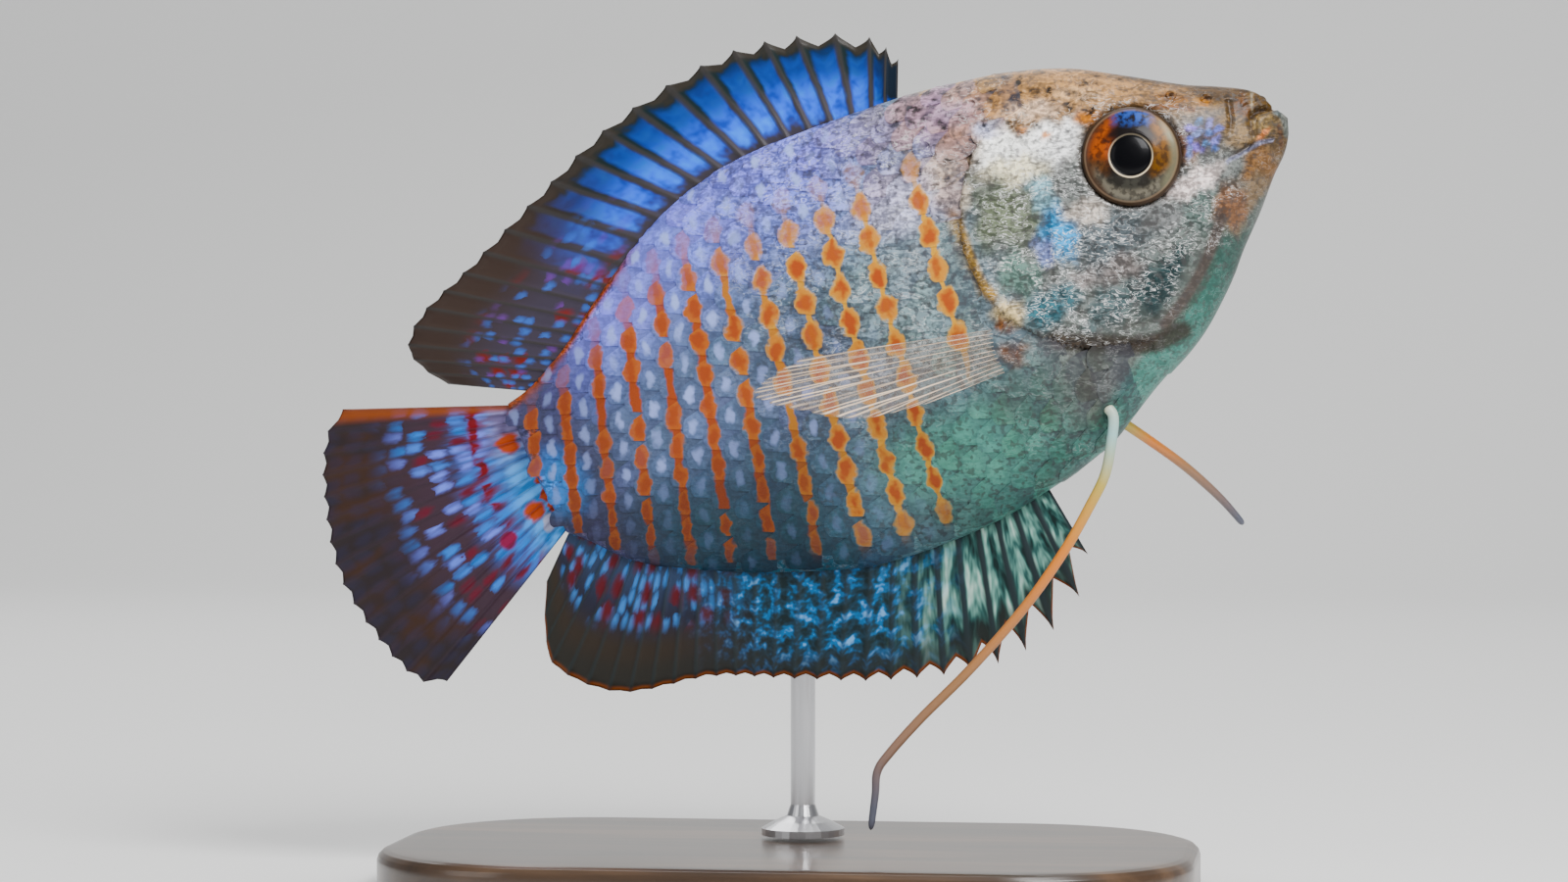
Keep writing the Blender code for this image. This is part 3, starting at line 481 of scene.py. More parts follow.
# %% Lips and nostrils
def tube_place(knots, radii):
    """Place function of a round tube along knots of (a, h, y) with a radius at each knot."""
    def place(around, along):
        share = np.clip(along, 0.0, 1.0)
        centre = np.stack(path(knots, share), axis=-1)
        ahead = np.stack(path(knots, np.minimum(share + 0.01, 1)), axis=-1)
        behind = np.stack(path(knots, np.maximum(share - 0.01, 0)), axis=-1)
        way = ahead - behind
        way /= np.linalg.norm(way, axis=-1, keepdims=True) + 1e-9
        across = np.cross(way, np.array([0.1, 0.2, 1.0]))
        across /= np.linalg.norm(across, axis=-1, keepdims=True)
        over = np.cross(across, way)
        size = path([(radius,) for radius in radii], share)[0]
        size = size * np.sqrt(np.clip(1 - np.clip(1 - np.minimum(share, 1 - share) * 40, 0, 1) ** 2, 0, 1))
        turn = around * 2 * math.pi
        out = across * (np.cos(turn) * size)[:, None] + over * (np.sin(turn) * size)[:, None]
        return room(*(centre + out).T)
    return place


MOUTH_WIDTH = (0.0, 0.75, 1.25, 1.6, 2.15)


def lip_knots(lift_a, lift_h):
    half = [(a + lift_a, h + lift_h, wide) for (a, h), wide in zip(MOUTH_LINE, MOUTH_WIDTH)]
    return [(a, h, -wide) for a, h, wide in reversed(half)] + half[1:]


LIP_RADII = (0.18, 0.3, 0.42, 0.46, 0.46, 0.46, 0.42, 0.3, 0.18)
lips = [rolled("upper_lip", 20, 90, tube_place(lip_knots(0.56, 0.9), LIP_RADII)),
        rolled("lower_lip", 20, 90, tube_place(lip_knots(-0.1, -0.7), LIP_RADII))]
nostrils = []
for side in (-1, 1):
    for a, h, wide in ((5.1, 3.3, 0.3), (7.2, 4.55, 0.28)):
        turn = np.linspace(0, 2 * math.pi, 9)
        ring = [(a + wide * math.cos(t), h + wide * 0.8 * math.sin(t),
                 side * (float(flank(a, h)) + 0.12)) for t in turn]
        nostrils.append(rolled("nostril", 8, 40, tube_place(ring, (0.14, 0.14))))
skin = join([skin, *lips, *nostrils])
print("skin with lips:", len(skin.data.polygons), "faces")

# %% [markdown]
# The finished skin is painted point by point, with painted shade in its grooves and creases.
# It also stores where its finish shows wrinkles and painted glints.

# %% Paint on the skin
a, h = fish(read_points(skin.data))[:2]
colour = body_paint(a, h)
off, bar = bar_place(a, h)
front = fall(a, 34, 46)[:, None]
bar_colour = np.array(RUST) + (np.array(AMBER) - np.array(RUST)) * front
colour += (bar_colour - colour) * (bar * fall(np.abs(off), 0.2, 0.42))[:, None]
# Painted shade: the skin is darkened in the mouth's gap, along the grooves and creases of the head and in
# a thin ring round the eye.
groove_shade = 0.8 * fall(off_line(a, h, MOUTH_LINE[:3])[0], 0.04, 0.14)
for edge, width, depth in ((GILL_OUTER, 0.3, 0.45), (CHEEK_GROOVE, 0.3, 0.3), (JAW_FOLD, 0.14, 0.6),
                           (LIP_CREASE, 0.18, 0.6), (PLATE_FRONT, 0.16, 0.6)):
    gap, along = off_line(a, h, edge)
    ends = soft(along, 0, 0.15) * fall(along, 0.85, 1.0)
    groove_shade = np.maximum(groove_shade, depth * fall(gap, 0.05, width) * ends)
ring = np.hypot(a - EYE_CENTRE[0], h - EYE_CENTRE[1])
groove_shade = np.maximum(groove_shade, 0.55 * np.exp(-((ring - 3.6) / 0.22) ** 2))
colour += (paint(60, 44, 34) - colour) * groove_shade[:, None]
up = up_share(a, h)
# The cheek is where the finish paints its strongest glints.
cheek = fall(a, 22.0, 25.5) * soft(up, 0.1, 0.22) * fall(up, 0.8, 0.92) * soft(a, 4.5, 7.5)
write_colours(skin.data, "paint", colour)
write_values(skin.data, "cheek", cheek * soft(curve(GILL_EDGE, h) - a, -0.5, 0.1))
write_values(skin.data, "wrinkled", soft(up, 0.12, 0.3))
write_values(skin.data, "nape", soft(up, 0.68, 0.82) * soft(a, 8.5, 11.5) * fall(a, 24, 30))
print("skin painted")

# %% [markdown]
# Scales lie like roof tiles in slanting columns, each column half a scale out of step with the
# next. One scale is modelled as a small curved plate, then bent onto the flank at each place. The
# front edge sinks under the scale ahead and the round rear edge stands just proud.

# %% Places of the scales
COLUMN_STEP = BAR_STEP / 2
ROW_STEP = 2.5
SHOWN = 0.6
ROUND_STEPS = 72
ANGLES = np.linspace(0, math.pi, ROUND_STEPS + 1)
MIDDLE = ROUND_STEPS // 2
MARGIN = 0.7


def skin_run(a):
    """Heights and half widths round the section from the back down, and the run of skin to each."""
    h, out = section(a[:, None], ANGLES[None, :])
    run = np.cumsum(np.hypot(np.diff(h), np.diff(out)), 1)
    return h, out, np.concatenate([np.zeros((len(a), 1)), run], 1)


def on_flank(a, climb):
    """Height and half width after climbing the skin from the widest line."""
    h, out, run = skin_run(a)
    want = np.clip(run[:, MIDDLE] - climb, 0, run[:, -1] - 1e-6)
    k = np.clip((run <= want[:, None]).sum(1) - 1, 0, ROUND_STEPS - 1)
    row = np.arange(len(a))
    t = (want - run[row, k]) / (run[row, k + 1] - run[row, k] + 1e-12)
    return [line[row, k] + t * (line[row, k + 1] - line[row, k]) for line in (h, out)]


def row_height(a):
    """Spacing of the scale rows, which draw together towards the tail."""
    return ROW_STEP * curve([(18.0, 0.9), (30.0, 1.0), (42.0, 0.95), (60.2, 0.62)], a)


def scale_places():
    """Middle (a, climb) of each scale, its column, and its size."""
    found = []
    for column in range(-9, 22):
        start = BAR_FIRST - SHOWN + column * COLUMN_STEP
        for row in range(-9, 10):
            a = start
            for _ in range(6):
                climb = (row + 0.5 * (column % 2)) * row_height(a)
                h = on_flank(np.array([a]), np.array([climb]))[0][0]
                a = start - float(curve(BAR_LEAN, a)) * h
            found.append((a, climb, column, float(row_height(a))))
    found = np.array(found)
    a, climb = found[:, 0], found[:, 1]
    run = skin_run(a)[2]
    above, below = run[:, MIDDLE], run[:, -1] - run[:, MIDDLE]
    fits = (climb < above - MARGIN) & (climb > MARGIN - below) & (a > 17.0) & (a < BODY_LENGTH - 0.6)
    h = on_flank(a, climb)[0]
    behind = np.where(h > 8.0, 16.5, np.where(h < -10.4, 17.5, curve(GILL_EDGE, h))) + 1.5
    return found[fits & (a > behind - SHOWN)]


places = scale_places()
print("scales on each side:", len(places))

# %% One scale
SCALE_LENGTH = 3.5
SCALE_FRONT = -2.0


def scale_shape():
    """Points and faces of a flat square plate: a grid with its rim drawn down and its underside shut."""
    clear_selection()
    bpy.ops.mesh.primitive_grid_add(x_subdivisions=5, y_subdivisions=6, size=1.0)
    piece = bpy.context.object
    bpy.ops.object.mode_set(mode="EDIT")
    bpy.ops.mesh.select_all(action="DESELECT")
    bpy.ops.mesh.select_mode(type="EDGE")
    bpy.ops.mesh.select_all(action="SELECT")
    bpy.ops.mesh.region_to_loop()
    bpy.ops.mesh.extrude_region_move(TRANSFORM_OT_translate={"value": (0, 0, -1)})
    bpy.ops.mesh.edge_face_add()
    bpy.ops.mesh.select_all(action="SELECT")
    bpy.ops.mesh.normals_make_consistent(inside=False)
    bpy.ops.object.mode_set(mode="OBJECT")
    points = read_points(piece.data)
    faces = [tuple(face.vertices) for face in piece.data.polygons]
    bpy.data.objects.remove(piece)
    return points, faces


flat, scale_faces = scale_shape()
run = flat[:, 0] + 0.5
wide = flat[:, 1] * 2
under = flat[:, 2] < -0.5
rim = (np.minimum(run, 1 - run) < 1e-6) | (np.abs(wide) > 1 - 1e-6)
arch = np.sqrt(np.clip(1 - np.abs(wide) ** 2.6, 0, 1))
along = SCALE_FRONT + SCALE_LENGTH * run * (0.62 + 0.38 * arch)
across = wide * 0.56 * (0.82 + 0.18 * np.sin(run * math.pi))
lift = -0.06 + 0.08 * (1 - (1 - run) ** 3) + 0.05 * run + 0.02 * (1 - wide ** 2)
lift = np.where(under, np.minimum(lift - 0.05, -0.02), lift)
print("points of one scale:", len(flat))

# %% Scales bent onto the flank
NUDGE = 0.05
MAP_SIZE = 5.0
MAP_LENGTH, MAP_HEIGHT = 62.0, 18.0


def scale_mesh(name, side):
    """The scales of one side as one mesh, with a map on each scale and a map of the whole coat."""
    count, size = len(places), len(flat)
    rows = places[:, 3:4]
    turn = DICE.normal(0, 0.04, count)[:, None]
    grow = 1 + DICE.normal(0, 0.03, count)[:, None]
    x = (along[None, :] + across[None, :] * turn) * grow * (0.7 + 0.3 * rows / ROW_STEP)
    s = (across[None, :] - along[None, :] * turn * 0.3) * grow * rows * 1.04
    a = (places[:, 0:1] + x).ravel()
    climb = (places[:, 1:2] + s).ravel()
    a -= curve(BAR_LEAN, a) * s.ravel()

    def surface(a, climb):
        h, out = on_flank(a, climb)
        return np.stack([a, h, side * out], axis=-1)

    point = surface(a, climb)
    normal = np.cross(surface(a + NUDGE, climb) - point, surface(a, climb + NUDGE) - point)
    normal *= np.sign(normal[:, 2:3] * side + 1e-12)
    normal /= np.linalg.norm(normal, axis=1, keepdims=True) + 1e-12
    point += normal * (lift[None, :] * grow).reshape(-1, 1)
    faces = [tuple(v + k * size for v in face) for k in range(count) for face in scale_faces]
    mesh = bpy.data.meshes.new(name)
    mesh.from_pydata(room(*point.T).tolist(), [], faces)
    mesh.update()
    corner = np.empty(len(mesh.loops), dtype=np.int64)
    mesh.loops.foreach_get("vertex_index", corner)
    own, local = corner // size, corner % size
    middle_h = on_flank(places[:, 0], places[:, 1])[0]
    root_u = 0.03 + 0.94 * places[own, 0] / MAP_LENGTH
    root_v = (0.25 if side < 0 else 0.75) + 0.24 * middle_h[own] / MAP_HEIGHT
    maps = {"on_scale": (0.5 + x.ravel()[corner] / MAP_SIZE, 0.5 + s.ravel()[corner] / MAP_SIZE),
            "OFBake": (root_u + 0.003 * flat[local, 0], root_v + 0.003 * flat[local, 1])}
    for label, ways in maps.items():
        mesh.uv_layers.new(name=label)
        mesh.uv_layers[label].data.foreach_set("uv", np.stack(ways, axis=-1).ravel())
    return mesh


print("scales are bent with steps of", NUDGE, "mm")

# %% [markdown]
# The scales are painted last. Those in a bar carry a bead, the others a pale spot. Chance makes
# every scale a little different, and leaves gaps in the bars near the tail.

# %% Paint on the scales
def paint_scales(mesh):
    """The colour of each point, and for each scale the marks and the painted shade that its finish shows.
    """
    count, size = len(places), len(flat)
    scale_a, column = places[:, 0], places[:, 2]
    middle_h = on_flank(scale_a, places[:, 1])[0]
    up = up_share(scale_a, middle_h)
    a, h = fish(read_points(mesh))[:2]
    colour = body_paint(a, h)
    tint = 1 + DICE.normal(0, 0.08, (count, 1)) + DICE.normal(0, 0.035, (count, 3))
    colour *= np.repeat(tint, size, axis=0)
    mottled = soft(up, 0.62, 0.8) * fall(scale_a, 25, 33) * soft(scale_a, 18.0, 22.0)
    for levels, most in (((166, 156, 222), 0.4), ((172, 134, 106), 0.55)):
        share = np.repeat(mottled * DICE.uniform(0, most, count), size)[:, None]
        colour += (paint(*levels) - colour) * share
    write_colours(mesh, "paint", colour)
    first = column == -3
    in_bar = ((column % 2 == 0) & (column >= 0)) | first
    bead = in_bar * soft(up, 0.03, 0.12) * fall(up - 0.08 * soft(scale_a, 36, 46), 0.7, 0.9)
    bead *= DICE.uniform(0.86, 1.0, count) * np.where(first, middle_h > -5.0, 1.0)
    bead *= DICE.uniform(0, 1, count) > 0.1 * soft(scale_a, 36, 44)
    # Beads grow slimmer here. The finish also dims these scales as painted shade: low on the rear flank,
    # on the tail stalk and low in front.
    slim_and_shaded = np.maximum.reduce([soft(scale_a, 36, 44) * fall(up, 0.22, 0.5), 0.55 * soft(scale_a, 48, 56),
                              0.6 * fall(up, 0.2, 0.4) * fall(scale_a, 34, 38)])
    pale = np.maximum(soft(scale_a, 30, 42), soft(up, 0.7, 0.85) * soft(scale_a, 27, 32))
    pale *= np.where(in_bar, 0.2, 1.0) * DICE.uniform(0.45, 1.0, count)
    pale *= (1 - 0.8 * fall(up, 0.2, 0.42)) * (1 - 0.3 * soft(scale_a, 50, 56))
    halo = fall(scale_a, 34, 46)
    nape = soft(up, 0.68, 0.82) * fall(scale_a, 24, 30)
    wrinkled = halo * np.maximum(soft(up, 0.2, 0.42), 0.4 * fall(scale_a, 24, 28))
    marks = {"bead": bead, "pale": pale, "halo": halo, "slim_and_shaded": slim_and_shaded, "nape": nape, "wrinkled": wrinkled}
    for label, values in marks.items():
        write_values(mesh, label, np.repeat(values, size))
    own_bar = np.where(column >= -1, np.clip(column // 2, 0, 10), -1.5)
    off, bar = bar_place(a, h, np.repeat(own_bar, size))
    linked = np.where(DICE.uniform(0, 1, count) < 0.26 * soft(scale_a, 34, 42), 0.0, 1.0)
    write_values(mesh, "off", off)
    write_values(mesh, "bar", bar * np.repeat(linked, size))


def coat(name, side):
    """One side's scales as an object, painted, with crisp rims."""
    mesh = scale_mesh(name, side)
    paint_scales(mesh)
    ends = np.empty(len(mesh.edges) * 2, dtype=np.int64)
    mesh.edges.foreach_get("vertices", ends)
    sharp = mesh.attributes.new("sharp_edge", "BOOLEAN", "EDGE")
    sharp.data.foreach_set("value", rim[ends.reshape(-1, 2) % len(flat)].all(axis=1))
    piece = bpy.data.objects.new(name, mesh)
    bpy.context.scene.collection.objects.link(piece)
    return settle(piece, 1e-9)


scales = [coat("scales_right", -1), coat("scales_left", 1)]
print("scale faces:", sum(len(piece.data.polygons) for piece in scales))

# %% [markdown]
# A fin is two skins with stiff rays between them. The grid goes round the fin, down one face and
# back along the other; its thickness swells at each ray and runs out to nothing at the margin. The
# margin dips between the hard spines, so that each spine ends in a free point.

# %% Fins on the back, the belly and the tail
FIN_THIN, FIN_THICK, FIN_SINK = 0.12, 0.3, 0.9
DORSAL_RAYS, ANAL_RAYS, TAIL_RAYS = 24, 28, 16
DORSAL_BASE = [(0.0, 25.2), (0.1, 27.6), (0.3, 34.6), (0.5, 42.6), (0.68, 50.0), (1.0, 57.4)]
DORSAL_TIP = [(0.0, 23.6, 15.4), (0.09, 24.9, 17.8), (0.17, 29.3, 20.0), (0.28, 35.2, 21.2),
              (0.42, 44.3, 20.3), (0.55, 51.8, 17.9), (0.68, 58.4, 15.6), (0.8, 63.4, 14.0),
              (0.88, 65.4, 12.2), (0.95, 64.9, 10.2), (1.0, 63.8, 8.6)]
DORSAL_NOTCH = [(0.0, 0.2), (0.15, 0.13), (0.35, 0.06), (0.68, 0.03), (1.0, 0.015)]
ANAL_BASE = [(0.0, 26.8), (0.15, 32.4), (0.3, 38.9), (0.6, 51.0), (1.0, 59.4)]
ANAL_TIP = [(0.0, 26.2, -22.2), (0.04, 28.2, -24.8), (0.08, 31.1, -26.2), (0.15, 35.4, -26.6),
            (0.3, 43.0, -24.4), (0.45, 49.4, -21.4), (0.6, 54.6, -18.9), (0.76, 61.4, -17.1),
            (0.88, 65.0, -13.4), (0.95, 64.4, -10.4), (1.0, 62.9, -7.6)]
ANAL_NOTCH = [(0.0, 0.34), (0.12, 0.26), (0.2, 0.12), (0.35, 0.06), (0.7, 0.015), (1.0, 0.01)]
TAIL_BASE = [(0.0, 59.4, 4.9), (1.0, 59.4, -4.6)]
TAIL_TIP = [(0.0, 71.6, 10.2), (0.08, 73.6, 9.0), (0.25, 75.6, 5.4), (0.5, 77.2, -0.6),
            (0.75, 76.4, -6.6), (0.92, 74.9, -10.2), (1.0, 73.0, -11.1)]
TAIL_NOTCH = [(0.0, 0.02), (1.0, 0.02)]


def off_ray(share, rays):
    """Distance from the nearest ray: 0 on its middle and 1 half way to the next."""
    return np.abs((share * (rays - 1) + 0.5) % 1 - 0.5) * 2


def closed_ends(along, half):
    """Half thickness brought to nothing where the grid begins and ends."""
    return np.where((along > 1 - 1e-6) | (along < 1e-6), 0.0, half)


def straight_base(points):
    """The base line of a fin through points of (share, a, h)."""
    return lambda share: (curve(points, share), points[0][2] + (points[-1][2] - points[0][2]) * share)


def outline_base(points, outline, sink):
    """The base line of a fin on the body's outline, from points of (share, a)."""
    def base(share):
        a = curve(points, share)
        return a, curve(outline, a) + sink
    return base


def fin(name, rays, base, tip, notch, sway=0.0, steps=12, along_steps=60):
    """A fin between its base line and its tip points, notched between the rays."""
    def place(around, along):
        share = 1 - np.abs(around * 2 - 1)
        side = np.where(around < 0.5, -1.0, 1.0)
        root_a, root_h = base(share)
        end_a, end_h = curve(tip, share), curve(tip, share, 2)
        off = off_ray(share, rays)
        reach = 0.999 * along * (1 - curve(notch, share) * off ** 0.7)
        a = root_a + (end_a - root_a) * reach
        h = root_h + (end_h - root_h) * reach
        ridge = fall(off, 0.0, 0.48)
        half = FIN_THIN + (FIN_THICK - FIN_THIN) * ridge * (1 - 0.55 * reach)
        half = half * (1 - soft(along, 0.93, 1.0) * (1 - 0.35 * ridge)) * soft(share, 0.0, 0.006)
        half = closed_ends(along, half * fall(share, 0.994, 1.0))
        return room(a, h, side * half + sway * share ** 2 * reach ** 2)
    return rolled(name, 2 * (rays - 1) * steps, along_steps, place)


dorsal_fin = fin("dorsal_fin", DORSAL_RAYS, outline_base(DORSAL_BASE, BACK, -FIN_SINK), DORSAL_TIP,
                 DORSAL_NOTCH, sway=1.6)
anal_fin = fin("anal_fin", ANAL_RAYS, outline_base(ANAL_BASE, BELLY, FIN_SINK), ANAL_TIP, ANAL_NOTCH)
tail_fin = fin("tail_fin", TAIL_RAYS, straight_base(TAIL_BASE), TAIL_TIP, TAIL_NOTCH, steps=14,
               along_steps=80)
print("fin faces:", [len(piece.data.polygons) for piece in (dorsal_fin, anal_fin, tail_fin)])

# %% [markdown]
# The breast fins are nearly clear fans that stand away from the flank. Their finish makes the
# rays fork once.

# %% Breast fins
PECTORAL_BASE = [(0.0, 25.3, -5.2), (0.5, 25.7, -6.7), (1.0, 25.9, -8.2)]
PECTORAL_TIP = [(0.0, 38.2, -1.3), (0.2, 41.6, -1.7), (0.36, 42.3, -2.5), (0.6, 39.4, -4.9),
                (0.8, 35.9, -7.0), (1.0, 31.2, -8.0)]
PECTORAL_RAYS = 12


def breast_fin(name, side):
    def place(around, along):
        share = 1 - np.abs(around * 2 - 1)
        face = np.where(around < 0.5, -1.0, 1.0)
        root_a, root_h = curve(PECTORAL_BASE, share) - 0.3, curve(PECTORAL_BASE, share, 2)
        end_a, end_h = curve(PECTORAL_TIP, share), curve(PECTORAL_TIP, share, 2)
        off = off_ray(share, PECTORAL_RAYS)
        reach = along * (1 - 0.03 * off)
        a, h = root_a + (end_a - root_a) * reach, root_h + (end_h - root_h) * reach
        out = flank(a, h) + 0.55 + 2.6 * reach ** 1.3 - 0.8 * fall(along, 0.0, 0.08)
        ridge = fall(off, 0.0, 0.6)
        half = (0.035 + 0.17 * ridge * (1 - 0.6 * reach)) * (1 - soft(along, 0.92, 1.0))
        half = closed_ends(along, half * soft(share, 0.0, 0.01) * fall(share, 0.99, 1.0))
        return room(a, h, side * out + face * half)
    return rolled(name, 2 * (PECTORAL_RAYS - 1) * 12, 50, place)


pectorals = [breast_fin("pectoral_fin_right_piece", -1), breast_fin("pectoral_fin_left_piece", 1)]
print("breast fin faces:", len(pectorals[0].data.polygons))

# %% [markdown]
# The pelvic fins of this fish are two long threads that it feels its way with.

# %% Feelers
RIGHT_FEELER = [(20.4, -13.3, 3.0), (20.3, -14.2, 3.1), (21.2, -15.8, 3.3), (22.5, -17.6, 3.6),
                (24.3, -19.1, 4.0), (27.2, -21.2, 4.6), (31.3, -23.6, 5.5), (36.4, -25.9, 6.6),
                (41.0, -27.6, 7.4), (44.0, -28.9, 7.9), (45.3, -29.7, 8.1), (46.1, -31.1, 8.3),
                (47.4, -33.2, 8.6)]
LEFT_FEELER = [(20.8, -13.2, 2.8), (20.8, -13.7, 3.2), (20.1, -15.0, 4.3), (19.2, -16.7, 6.4),
               (18.1, -18.9, 9.0), (17.3, -20.9, 11.6), (16.6, -23.0, 13.8), (16.1, -25.1, 15.6)]


def feeler(name, knots, side):
    route = [(a, h, side * out) for a, h, out in knots]
    return rolled(name, 14, 200, tube_place(route, (0.38, 0.37, 0.35, 0.32, 0.24)))


feelers = [feeler("feeler_right", RIGHT_FEELER, -1), feeler("feeler_left", LEFT_FEELER, 1)]
print("feelers ready")

# %% [markdown]
# The eye is a shallow bowl of coloured iris round the bulging black lens, all wet and glossy. It
# is rolled ring by ring, from the middle of its back over its rim to the middle of its front.

# %% Eyes
EYE_RADIUS = 3.5
EYE_RINGS = [(0.0, -1.9), (0.5, -1.9), (0.86, -1.4), (0.985, -0.7), (1.0, -0.3), (0.985, 0.02),
             (0.94, 0.22), (0.86, 0.36), (0.74, 0.47), (0.6, 0.58), (0.5, 0.68), (0.46, 0.74),
             (0.43, 0.72), (0.40, 0.66), (0.34, 0.76), (0.2, 0.86), (0.0, 0.9)]


def eye_place(side):
    look = Vector((0.10, side, 0.10)).normalized()
    turn = look.to_track_quat("Z", "Y").to_matrix()
    pitch = Matrix.Rotation(-NOSE_UP, 3, "Y")
    axes = np.array(pitch @ turn)
    centre = room(EYE_CENTRE[0], EYE_CENTRE[1], side * float(flank(*EYE_CENTRE, 0.0)))

    def place(around, along):
        radius, rise = path(EYE_RINGS, along)
        angle = around * 2 * math.pi
        radius = radius * EYE_RADIUS
        local = np.stack([np.cos(angle) * radius, np.sin(angle) * radius, rise], -1)
        return centre + local @ axes.T * MM
    return place


eyes = [rolled("eye_right_piece", 72, 64, eye_place(-1)), rolled("eye_left_piece", 72, 64, eye_place(1))]
for piece in eyes:
    from_centre = (read_points(piece.data) - room(*EYE_CENTRE, 0.0)) / (EYE_RADIUS * MM)
    write_values(piece.data, "radius", np.hypot(from_centre[:, 0], from_centre[:, 2]))
    write_values(piece.data, "upward", from_centre[:, 2])
    write_values(piece.data, "forward", from_centre[:, 0])
print("eye faces:", len(eyes[0].data.polygons))

# %% [markdown]
# The display stand is a polished wooden plate and a thin steel rod. The plate is a circle whose
# quarters are moved apart into a rounded oblong, rolled along a side line with a small bevel.
# The solid rod is already fine enough, so it only gets a finish.

# %% Stand
BASE_LENGTH, BASE_WIDTH, BASE_CORNER = 58.0, 34.0, 13.0
BASE_SIDE = [(1.0, 0.0), (0.012, 0.0), (0.0, 0.25), (0.0, 2.2), (0.004, 2.55), (0.014, 2.84), (0.03, 2.97),
             (0.045, 3.0), (0.2, 3.0), (1.0, 3.0)]


def base_place(around, along):
    angle = around * 2 * math.pi
    x, y = [BASE_CORNER * way + np.sign(np.round(way, 6)) * (size / 2 - BASE_CORNER)
            for way, size in ((np.cos(angle), BASE_LENGTH), (np.sin(angle), BASE_WIDTH))]
    knots = np.linspace(0, 1, len(BASE_SIDE))
    inset = np.interp(along, knots, [knot[0] for knot in BASE_SIDE])
    z = np.interp(along, knots, [knot[1] for knot in BASE_SIDE])
    return np.stack([x * (1 - inset), y * (1 - inset), z], -1) * MM


base = rolled("stand_base_piece", 200, 45, base_place)
print("stand base ready")

# %% [markdown]
# Finishes. Fish skin is clear over a silvery layer, so it gets a wet coat over a partly metallic
# base. A finish is a tree of nodes. The small class below stands for one output of a node, and the
# usual signs put a math node between two of them, so that a recipe reads like a formula.

# %% Values of a node tree
class Value:
    """One output of a node. The signs + - * / ** < > put a math node between two values."""

    def __init__(self, socket):
        self.socket = socket
        self.tree = socket.id_data

    def __add__(self, other):
        return math_node(self.tree, "ADD", self, other)

    def __sub__(self, other):
        return math_node(self.tree, "SUBTRACT", self, other)

    def __rsub__(self, other):
        return math_node(self.tree, "SUBTRACT", other, self)

    def __mul__(self, other):
        return math_node(self.tree, "MULTIPLY", self, other)

    def __truediv__(self, other):
        return math_node(self.tree, "DIVIDE", self, other)

    def __rtruediv__(self, other):
        return math_node(self.tree, "DIVIDE", other, self)

    def __pow__(self, other):
        return math_node(self.tree, "POWER", self, other)

    def __abs__(self):
        return math_node(self.tree, "ABSOLUTE", self)

    def __gt__(self, other):
        return math_node(self.tree, "GREATER_THAN", self, other)

    def __lt__(self, other):
        return math_node(self.tree, "LESS_THAN", self, other)


def fill(socket, item):
    """Links a value to an input, or writes a constant there. A colour gets its fourth number."""
    if isinstance(item, Value):
        socket.id_data.links.new(item.socket, socket)
    else:
        socket.default_value = (*item, 1.0) if socket.type == "RGBA" else item


def add(tree, kind, links=None, **settings):
    """Adds a node, sets its properties, and links or fills its inputs by name or number."""
    made = tree.nodes.new(kind)
    for key, item in settings.items():
        setattr(made, key, item)
    for key, item in (links or {}).items():
        fill(made.inputs[key], item)
    return made


def value(tree, kind, links=None, output=0, **settings):
    """Adds a node and gives one of its outputs."""
    return Value(add(tree, kind, links, **settings).outputs[output])


def math_node(tree, operation, *items):
    return value(tree, "ShaderNodeMath", dict(enumerate(items)), operation=operation)


def vector_math(operation, first, second):
    """A node between two vectors or, to scale, between a vector and a number."""
    slot = "Scale" if operation == "SCALE" else 1
    return value(first.tree, "ShaderNodeVectorMath", {0: first, slot: second}, operation=operation)


def parts(item):
    """The three numbers of a vector."""
    return [Value(socket) for socket in add(item.tree, "ShaderNodeSeparateXYZ", {0: item}).outputs]


def step(item, low, high):
    """Smooth rise of a value from 0 at low to 1 at high."""
    return value(item.tree, "ShaderNodeMapRange", {0: item, 1: low, 2: high},
                 interpolation_type="SMOOTHSTEP")


def blend(share, first, second):
    """Mix of two colours, each a value or three numbers."""
    tree = next(item.tree for item in (share, first, second) if isinstance(item, Value))
    return value(tree, "ShaderNodeMix", {"Factor": share, 6: first, 7: second}, 2, data_type="RGBA")


def ramp(item, stops):
    """Colour ramp from (place, colour) stops."""
    made = add(item.tree, "ShaderNodeValToRGB", {0: item})
    band = made.color_ramp.elements
    while len(band) < len(stops):
        band.new(0.5)
    for element, (place, colour) in zip(band, stops):
        element.position = place
        element.color = (*colour, 1.0)
    return Value(made.outputs[0])


def object_place(tree):
    return value(tree, "ShaderNodeTexCoord", output="Object")


def attribute(tree, name, output="Fac"):
    """A value that was stored for each vertex."""
    return value(tree, "ShaderNodeAttribute", output=output, attribute_name=name)


def noise(place, scale, output=0, **levels):
    return value(place.tree, "ShaderNodeTexNoise", {"Vector": place, "Scale": scale, **levels}, output)


print("node helpers ready")

# %% [markdown]
# One shared group makes the skin look like crumpled foil: it breaks a colour into light and dark grains,
# adds thin white streaks of painted glint along the wrinkles, dark specks and small cells, and gives a
# height for the bumps.

# %% The foil group
FOIL_LEVELS = {"Size": 1.0, "Contrast": 0.6, "Streaks": 0.5, "Specks": 0.5, "Cells": 0.0}
STRETCH = (0.62, 1.0, 1.5)
GLINT_WHITE, BLACK = (0.95, 0.95, 0.95), (0.05, 0.045, 0.045)

